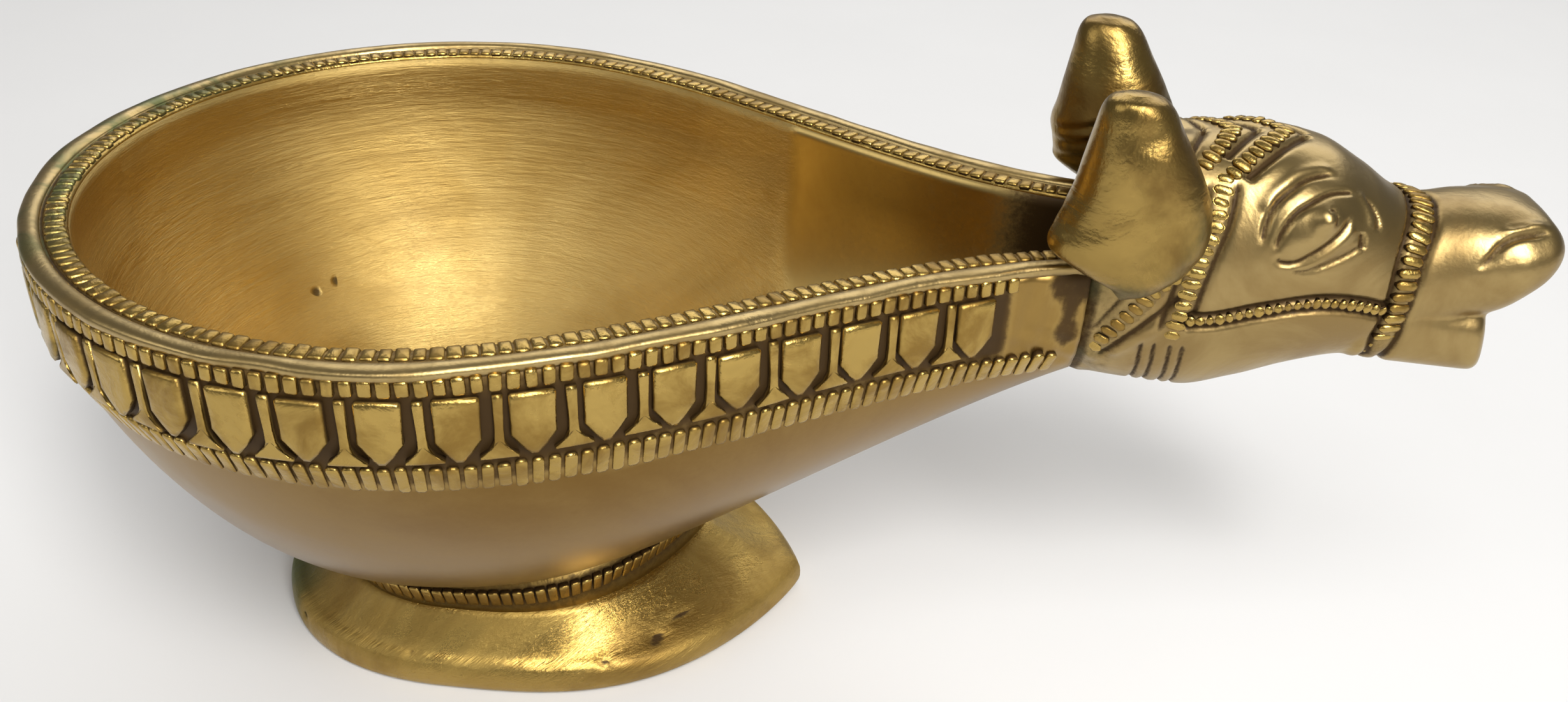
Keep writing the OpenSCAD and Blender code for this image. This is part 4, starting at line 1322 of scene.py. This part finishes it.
def make_lobe(name, side):
    points, faces = closed_loft(lobe_rings(side))
    x, z, outer = points[:, 0] - AXIS_X, points[:, 2], side * points[:, 1]
    face = outer > LOBE_FACE
    dimple = np.exp(-(((x - 63.8) / 2.6)**2 + ((z - 52.0) / 3.4)**2)) * face
    pit = np.exp(-(((x - 61.6) / 0.5)**2 + ((z - 56.0) / 0.45)**2)) * face
    ridge = np.zeros(len(points))
    for level, slant in LOBE_RIDGES:
        height = z - level - slant * (x - 61) * 0.6
        ridge += np.exp(-(height / 0.45)**2) * (outer < 9.8)
    sunk = 0.45 * dimple + 0.22 * pit - 0.28 * ridge
    rng = np.random.default_rng(43)
    for _ in range(16):
        dent = (rng.uniform(58, 67), rng.uniform(48, 61))
        gap = np.hypot(x - dent[0], z - dent[1]) / rng.uniform(0.7, 1.5)
        sunk += rng.uniform(-0.05, 0.24) * np.exp(-gap**2) * face
    # Painted shade on the ear's underside and on its side that faces the head
    bottom = ease((48.4 - z) / 2.2) * 0.55 + ease((9.0 - outer) / 2) * ease((54 - z) / 3) * 0.5
    green = ease((53.5 - z) / 5) * 0.5 * (outer < 10) + 0.35 * ease((x - 65.5) / 3)
    points[:, 1] -= side * sunk
    tidy(mesh_object(name, points, faces, {
        "groove": np.maximum(bottom, 0.25 * ridge),
        "green": np.maximum(green, 0.3 * ease((50 - z) / 3))}))


for name, side, replaced in (("horn_and_ear_right", -1, ("horn_right", "ear_right")),
                             ("horn_and_ear_left", 1, ("horn_left", "ear_left"))):
    make_lobe(name, side)
    finish_piece(name, HORN, replaced)

# %% [markdown]
# ### Chased details
#
# Every chased line is a path of places on the head: how far along it, and how far round. The
# skin is pushed in along a groove and out along a ridge, by an amount that fades with the
# distance from the path. Grooves are also remembered in the "groove" value, which
# holds the dark patina; the crease under the horns and ears is added to it as painted shade.
# Both sides of the head are done at once, because only the distance from the middle plane counts.


# %% Paths on the head
def dense_path(places, step=0.15):
    """Points on the head's right side, close together, on a smooth curve through places."""
    places = np.array(places, float)
    fine = np.linspace(0, len(places) - 1, 60 * len(places))
    t, angle = curve_through(places[:, 0], fine), curve_through(places[:, 1], fine)
    line = head_point(t, angle)
    run = np.concatenate([[0], np.cumsum(np.linalg.norm(np.diff(line, axis=0), axis=1))])
    even = np.linspace(0, run[-1], max(4, int(run[-1] / step)))
    return (np.stack([np.interp(even, run, line[:, c]) for c in range(3)], 1),
            np.interp(even, run, t), np.interp(even, run, angle))


def distance_to(points, line):
    """Distance from each point to the nearest point of a line, and how far along that is."""
    gap = np.full(len(points), 99.0)
    share = np.zeros(len(points))
    low, high = line.min(0) - 3, line.max(0) + 3
    near = np.nonzero(((points > low) & (points < high)).all(1))[0]
    for part in np.array_split(near, max(1, len(near) // 4000)):
        away = np.linalg.norm(points[part, None, :] - line[None, :, :], axis=2)
        first = away.argmin(1)
        gap[part] = away[np.arange(len(part)), first]
        share[part] = first / (len(line) - 1)
    return gap, share


def taper(share, ends):
    """One along the path, falling to nothing over its first and last part."""
    return ease(share / ends) * ease((1 - share) / ends)


# %% Chasing the head
BROW_LINE = [(0.33, 20), (0.333, 32), (0.35, 41), (0.378, 48), (0.405, 54), (0.445, 59),
             (0.48, 61)]
UPPER_LID = [(0.355, 18), (0.366, 28), (0.388, 36), (0.42, 42), (0.46, 48), (0.515, 53)]
LOWER_LID = [(0.355, 17), (0.375, 14), (0.405, 14), (0.435, 18), (0.465, 24), (0.488, 31),
             (0.50, 39)]
EYE_FOLD = [(0.545, 28), (0.525, 22), (0.50, 17), (0.47, 13), (0.43, 10), (0.385, 10)]
EYE_FRONT = [(0.515, 55), (0.538, 50), (0.552, 42), (0.553, 35)]
EYE_SLIT = [(0.535, 32), (0.54, 23)]
NOSE_LINE = [(0.945, 49), (0.915, 47), (0.885, 45), (0.852, 40), (0.832, 32), (0.82, 24),
             (0.795, 13)]
NOSE_TOP = [(0.90, 56), (0.87, 53), (0.845, 50)]
NOSEBAND = [(0.70, 90), (0.685, 60), (0.665, 30), (0.66, 0), (0.648, -40), (0.64, -70),
            (0.64, -90)]
CHEEK_STRAP = [(0.625, -5), (0.42, -4), (0.22, -7)]
BROW_REAR = [(0.205, 62), (0.245, 77), (0.275, 90)]
BROW_FRONT = [(0.262, 57), (0.32, 73), (0.385, 90)]
DOME_LINE = [(0.165, 62), (0.19, 75), (0.215, 90)]
REAR_LINE = [(0.245, 66), (0.29, 80), (0.325, 90)]
FRONT_LINE = [(0.285, 53), (0.345, 68), (0.43, 90)]
CHEEKPIECE = [(0.245, 54), (0.232, 32), (0.212, 14), (0.195, -4), (0.19, -14)]
NECK_COLLAR = [(0.185, 12), (0.125, 1), (0.07, -13), (0.035, -26)]
NECK_BAND = [(0.165, -8), (0.11, -20), (0.06, -32)]
THROAT = [[(t, -17), (t + 0.012, -50), (t + 0.016, -90)] for t in (0.130, 0.158, 0.192, 0.218)]


PUPIL = [(0.440, 38), (0.456, 38), (0.464, 34), (0.462, 30)]


def shifted(path, along, up=0):
    """The same path a little further along the head and further round it."""
    return [(t + along, angle + up) for t, angle in path]


# Lines: path, width, depth (a ridge if negative), patina, share of the path that tapers
LINES = [
    (BROW_LINE, 0.28, 0.40, 0.9, 0.18), (shifted(BROW_LINE[1:], -0.012, 4), 0.45, -0.16, 0, 0.12),
    (UPPER_LID, 0.26, 0.42, 0.95, 0.14), (LOWER_LID, 0.25, 0.36, 0.9, 0.14),
    (shifted(LOWER_LID[1:], 0.012, -4), 0.40, -0.18, 0, 0.12), (EYE_FOLD, 0.26, 0.26, 0.7, 0.2),
    (EYE_FRONT, 0.45, -0.15, 0, 0.2), (shifted(EYE_FRONT, 0.018), 0.26, 0.22, 0.85, 0.2),
    (EYE_SLIT, 0.26, 0.40, 1.0, 0.1), (PUPIL, 0.20, 0.26, 0.9, 0.2),
    (NOSE_LINE, 0.36, 0.45, 0.75, 0.22), (shifted(NOSE_LINE[:5], 0, 7), 0.60, -0.38, 0, 0.3),
    (NOSE_TOP, 0.26, 0.18, 0.5, 0.3), (DOME_LINE, 0.3, 0.5, 1.0, 0.05),
    (REAR_LINE, 0.42, 0.5, 1.0, 0.05), (FRONT_LINE, 0.42, 0.5, 1.0, 0.05),
    (shifted(CHEEKPIECE, 0.028), 0.32, 0.32, 0.95, 0.1),
    (shifted(CHEEKPIECE, -0.030), 0.30, 0.30, 0.95, 0.1),
    (shifted(NECK_COLLAR, 0.012, -9), 0.30, 0.35, 0.95, 0.1),
    (shifted(NECK_COLLAR, -0.012, 9), 0.28, 0.25, 0.8, 0.1), (NECK_BAND, 0.8, -0.30, 0, 0.2)]
LINES += [(places, 0.24, 0.34, 0.95, 0.12) for places in THROAT]
# Bumps: place, half sizes along and across, height, lean in degrees. The eye's ball, its middle
# and its pupil come first, then the nostril, the poll and two shallow hollows of the face
BUMPS = [((0.437, 33), 3.9, 2.9, 0.45, 38), ((0.437, 31), 2.7, 1.7, 0.40, 38),
         ((0.445, 34), 1.0, 1.0, 0.6, 0), ((0.965, 40), 1.6, 2.2, 0.25, 0),
         ((0.145, 76), 2.6, 2.2, 0.5, 0), ((0.60, 14), 4.5, 3.0, -0.25, 0),
         ((0.52, 66), 4.0, 2.6, -0.15, 0)]
# Straps that lie in a deep bed, and straps whose bed is only darkened, with half their widths
BEDDED = [(NOSEBAND, 1.15), (CHEEK_STRAP, 0.62)]
DARKENED = [(BROW_REAR, 0.85), (BROW_FRONT, 0.9), (CHEEKPIECE, 0.9), (NECK_COLLAR, 0.95)]


# %% [markdown]
# The lists are then worked through one by one. The depth of a line fades with the distance
# from its path as a bell curve does, which leaves the rounded lips of a real chisel cut.


# %% Cutting the skin
def unit(direction):
    return direction / np.linalg.norm(direction)


def bump_height(right, place, along, across, height, lean):
    """A soft oval bump on the skin, turned by lean degrees."""
    t, angle = place
    middle = head_point(t, angle)
    forward = unit(head_point(t + 0.01, angle) - head_point(t - 0.01, angle))
    upward = unit(head_point(t, angle + 2) - head_point(t, angle - 2))
    c, s = math.cos(math.radians(lean)), math.sin(math.radians(lean))
    u = (right - middle) @ (forward * c + upward * s)
    v = (right - middle) @ (upward * c - forward * s)
    size = (u / along)**2 + (v / across)**2
    return height * np.exp(-size**1.3) * (np.abs((right - middle)).max(1) < 9)


def cut_skin(right):
    """How far out each point is pushed by the chasing, and how dark it is left."""
    push, dark = np.zeros(len(right)), np.zeros(len(right))
    for places, width, depth, patina, ends in LINES:
        gap, share = distance_to(right, dense_path(places)[0])
        push -= depth * np.exp(-(gap / width)**2) * taper(share, ends)
        mark = np.exp(-(gap / (width * 1.15))**2) * taper(share, ends * 0.6)
        dark = np.maximum(dark, patina * mark)
    for bump in BUMPS:
        push += bump_height(right, *bump)
    for places, wide in BEDDED:
        gap = distance_to(right, dense_path(places)[0])[0]
        push -= 0.50 * np.exp(-((gap - wide) / 0.30)**2)
        dark = np.maximum.reduce([dark, np.exp(-((gap - wide) / 0.36)**2), 0.45 * (gap < wide)])
    for places, wide in DARKENED:
        gap, share = distance_to(right, dense_path(places)[0])
        dark = np.maximum(dark, 0.45 * (gap < wide) * taper(share, 0.06))
    # The brazed joint at the neck is lumpy
    rng = np.random.default_rng(31)
    for _ in range(60):
        lump = head_point(rng.uniform(0.0, 0.05), rng.uniform(-90, 60))
        gap = np.linalg.norm(right - lump, axis=1)
        push += rng.uniform(-0.22, 0.28) * np.exp(-(gap / rng.uniform(0.5, 1.1))**2)
    return push, dark


# %% Moving the points and painting them
def shade_at_lobes(spots):
    """Painted shade on the head in the crease where the horn and ear leave it."""
    middle, length, thick, out = lobe_at(np.clip(spots[:, 2], LOBE[0, 0], LOBE[-1, 0]))
    near = np.hypot((spots[:, 0] - middle) / (length + 0.5),
                    (np.abs(spots[:, 1]) - out) / (thick + 0.5))
    return ease((1.20 - near) / 0.18) * (spots[:, 2] > 44) * 0.85


def chase_head():
    mesh = head.data
    spots, normals = np.empty((2, len(mesh.vertices) * 3))
    mesh.vertices.foreach_get("co", spots)
    mesh.vertices.foreach_get("normal", normals)
    spots, normals = spots.reshape(-1, 3) / MM, normals.reshape(-1, 3)
    right = np.column_stack([spots[:, 0], -np.abs(spots[:, 1]), spots[:, 2]])
    t = (spots[:, 0] - NECK_X) / HEAD_L
    top, low, half = head_section(np.clip(t, 0, 1))
    rise = (spots[:, 2] - (top + low) / 2) / ((top - low) / 2)
    reach = (np.abs(spots[:, 1]) / half)**OVAL_POWER + np.abs(rise)**OVAL_POWER
    skin = ease((reach - 0.62) / 0.2) * (normals[:, 0] > -0.9)
    push, dark = cut_skin(right)
    inside = ease((0.75 - reach) / 0.1) * (t < 0.25)
    neck = [0.75 * ease((0.045 - t) / 0.03), 0.42 * ease((0.15 - t) / 0.08) * (rise < 0.8)]
    # Chased lines hold patina; the crease at the horns and ears is painted shade
    dark = np.maximum.reduce([dark * skin, shade_at_lobes(spots), inside] + neck)
    nose = np.exp(-((t - 0.95) / 0.04)**2) * (rise > 0.6)
    spots += normals * (push * skin)[:, None]
    mesh.vertices.foreach_set("co", (spots * MM).ravel())
    paint(mesh, {"groove": dark, "green": 0.35 * ease((0.10 - t) / 0.1) + 0.25 * nose})
    mesh.update()
    print("deepest cut %.2f mm, highest ridge %.2f mm" % (-push.min(), push.max()))


chase_head()
finish_piece("head_cast", CAST, ("head", "lower_jaw", "eye_left", "eye_right",
                                               "poll_tuft", "throat_straps"))

# %% [markdown]
# ### The beaded headstall
#
# The beads of the straps were cut one by one across each strap. The row tree lays them along
# the same paths, facing out of the head's skin.


# %% The beads
MIRROR = [1, -1, 1]


def strap_line(places, both_sides=False, lift=0.0, side=-1):
    """Points and outward directions along a strap; with both_sides it goes over the top."""
    line, t, angle = dense_path(places, 0.3)
    forward = head_point(t + 0.004, angle) - head_point(t - 0.004, angle)
    upward = head_point(t, angle + 1) - head_point(t, angle - 1)
    out = np.cross(upward, forward)
    out /= np.linalg.norm(out, axis=1)[:, None]
    top, low, half = head_section(t)
    centre = np.stack([line[:, 0], 0 * t, (top + low) / 2], 1)
    out *= np.sign(((line - centre) * out).sum(1))[:, None]
    line = line + out * lift
    if both_sides:
        return [np.concatenate([half, (half * MIRROR)[-2::-1]]) for half in (line, out)]
    return (line * MIRROR, out * MIRROR) if side > 0 else (line, out)


def bead(name, along, across, height):
    """A bead is a small block with well rounded corners, sunk deep in the strap's bed."""
    return pillow(name, rounded_block(along, across, min(along, across) * 0.35), height,
                  foot=-0.35, crown=0.16, bevel=0.18)


nose_bead = bead("nose_bead_shape", 0.80, 2.0, 0.32)
brow_bead = bead("brow_bead_shape", 0.86, 1.65, 0.28)
strap_bead = bead("strap_bead_shape", 0.76, 0.92, 0.14)
cheek_bead = bead("cheek_bead_shape", 0.86, 1.65, 0.20)

# The noseband goes all the way round, so its half is mirrored and closed
band, band_out = (np.concatenate([half, (half * MIRROR)[-2:0:-1], half[:1]])
                  for half in strap_line(NOSEBAND, lift=-0.10))
lay_row("noseband_beads", band, band_out, nose_bead, 1.08, ("noseband",), size=0.07, turn=0.06,
        seed=41)
for name, places, replaced in (("brow_beads_rear", BROW_REAR, "brow_band_rear"),
                               ("brow_beads_front", BROW_FRONT, "brow_band_front")):
    line, out = strap_line(places, both_sides=True)
    lay_row(name, line, out, brow_bead, 0.98, (replaced,), size=0.12, turn=0.12, seed=43)
for side, word in ((-1, "right"), (1, "left")):
    line, out = strap_line(CHEEK_STRAP, side=side, lift=-0.12)
    lay_row("cheek_strap_beads_" + word, line, out, strap_bead, 0.84, ("cheek_strap_" + word,),
            size=0.16, turn=0.12, seed=45)
    line, out = strap_line(CHEEKPIECE, side=side, lift=-0.05)
    lay_row("cheekpiece_beads_" + word, line, out, cheek_bead, 1.05, ("cheekpiece_" + word,),
            size=0.14, turn=0.14, seed=47)
    line, out = strap_line(NECK_COLLAR, side=side)
    lay_row("neck_collar_beads_" + word, line, out, cheek_bead, 1.08,
            ("neck_collar",) if side < 0 else (), size=0.16, turn=0.14, seed=49)

# %% [markdown]
# ## The floor
#
# A wide pale sweep is the floor and the background in one. It isn't part of the lamp.


# %% The floor
FRONT_EDGE, BEND_STARTS, BEND_R, SWEEP_TOP, SWEEP_HALF = -1.6, 0.9, 0.6, 1.6, 2.2


def make_floor():
    bend = [(FRONT_EDGE, 0.0)]
    bend += [(BEND_STARTS + BEND_R * math.sin(a), BEND_R - BEND_R * math.cos(a))
             for a in np.linspace(0, math.pi / 2, 24)]
    bend.append((BEND_STARTS + BEND_R, SWEEP_TOP))
    points = [(x, y, z) for y, z in bend for x in (-SWEEP_HALF, SWEEP_HALF)]
    faces = [(2 * i, 2 * i + 1, 2 * i + 3, 2 * i + 2) for i in range(len(bend) - 1)]
    floor = mesh_object("floor", np.array(points) / MM, faces)
    pale = bpy.data.materials.new("pale_floor")
    pale.use_nodes = True
    shader = pale.node_tree.nodes["Principled BSDF"]
    shader.inputs["Roughness"].default_value = 0.9
    grain = node(pale.node_tree, "ShaderNodeTexNoise",
                 {"Vector": node(pale.node_tree, "ShaderNodeTexCoord").outputs["Object"],
                  "Scale": 30.0, "Detail": 3.0})
    tone = mix_color(pale.node_tree, grain.outputs["Fac"], (0.70, 0.70, 0.70, 1),
                     (0.73, 0.73, 0.73, 1))
    pale.node_tree.links.new(tone, shader.inputs["Base Color"])
    floor.data.materials.append(pale)
    for face in floor.data.polygons:
        face.use_smooth = True
    print("floor: %.1f m wide" % floor.dimensions.x)


make_floor()
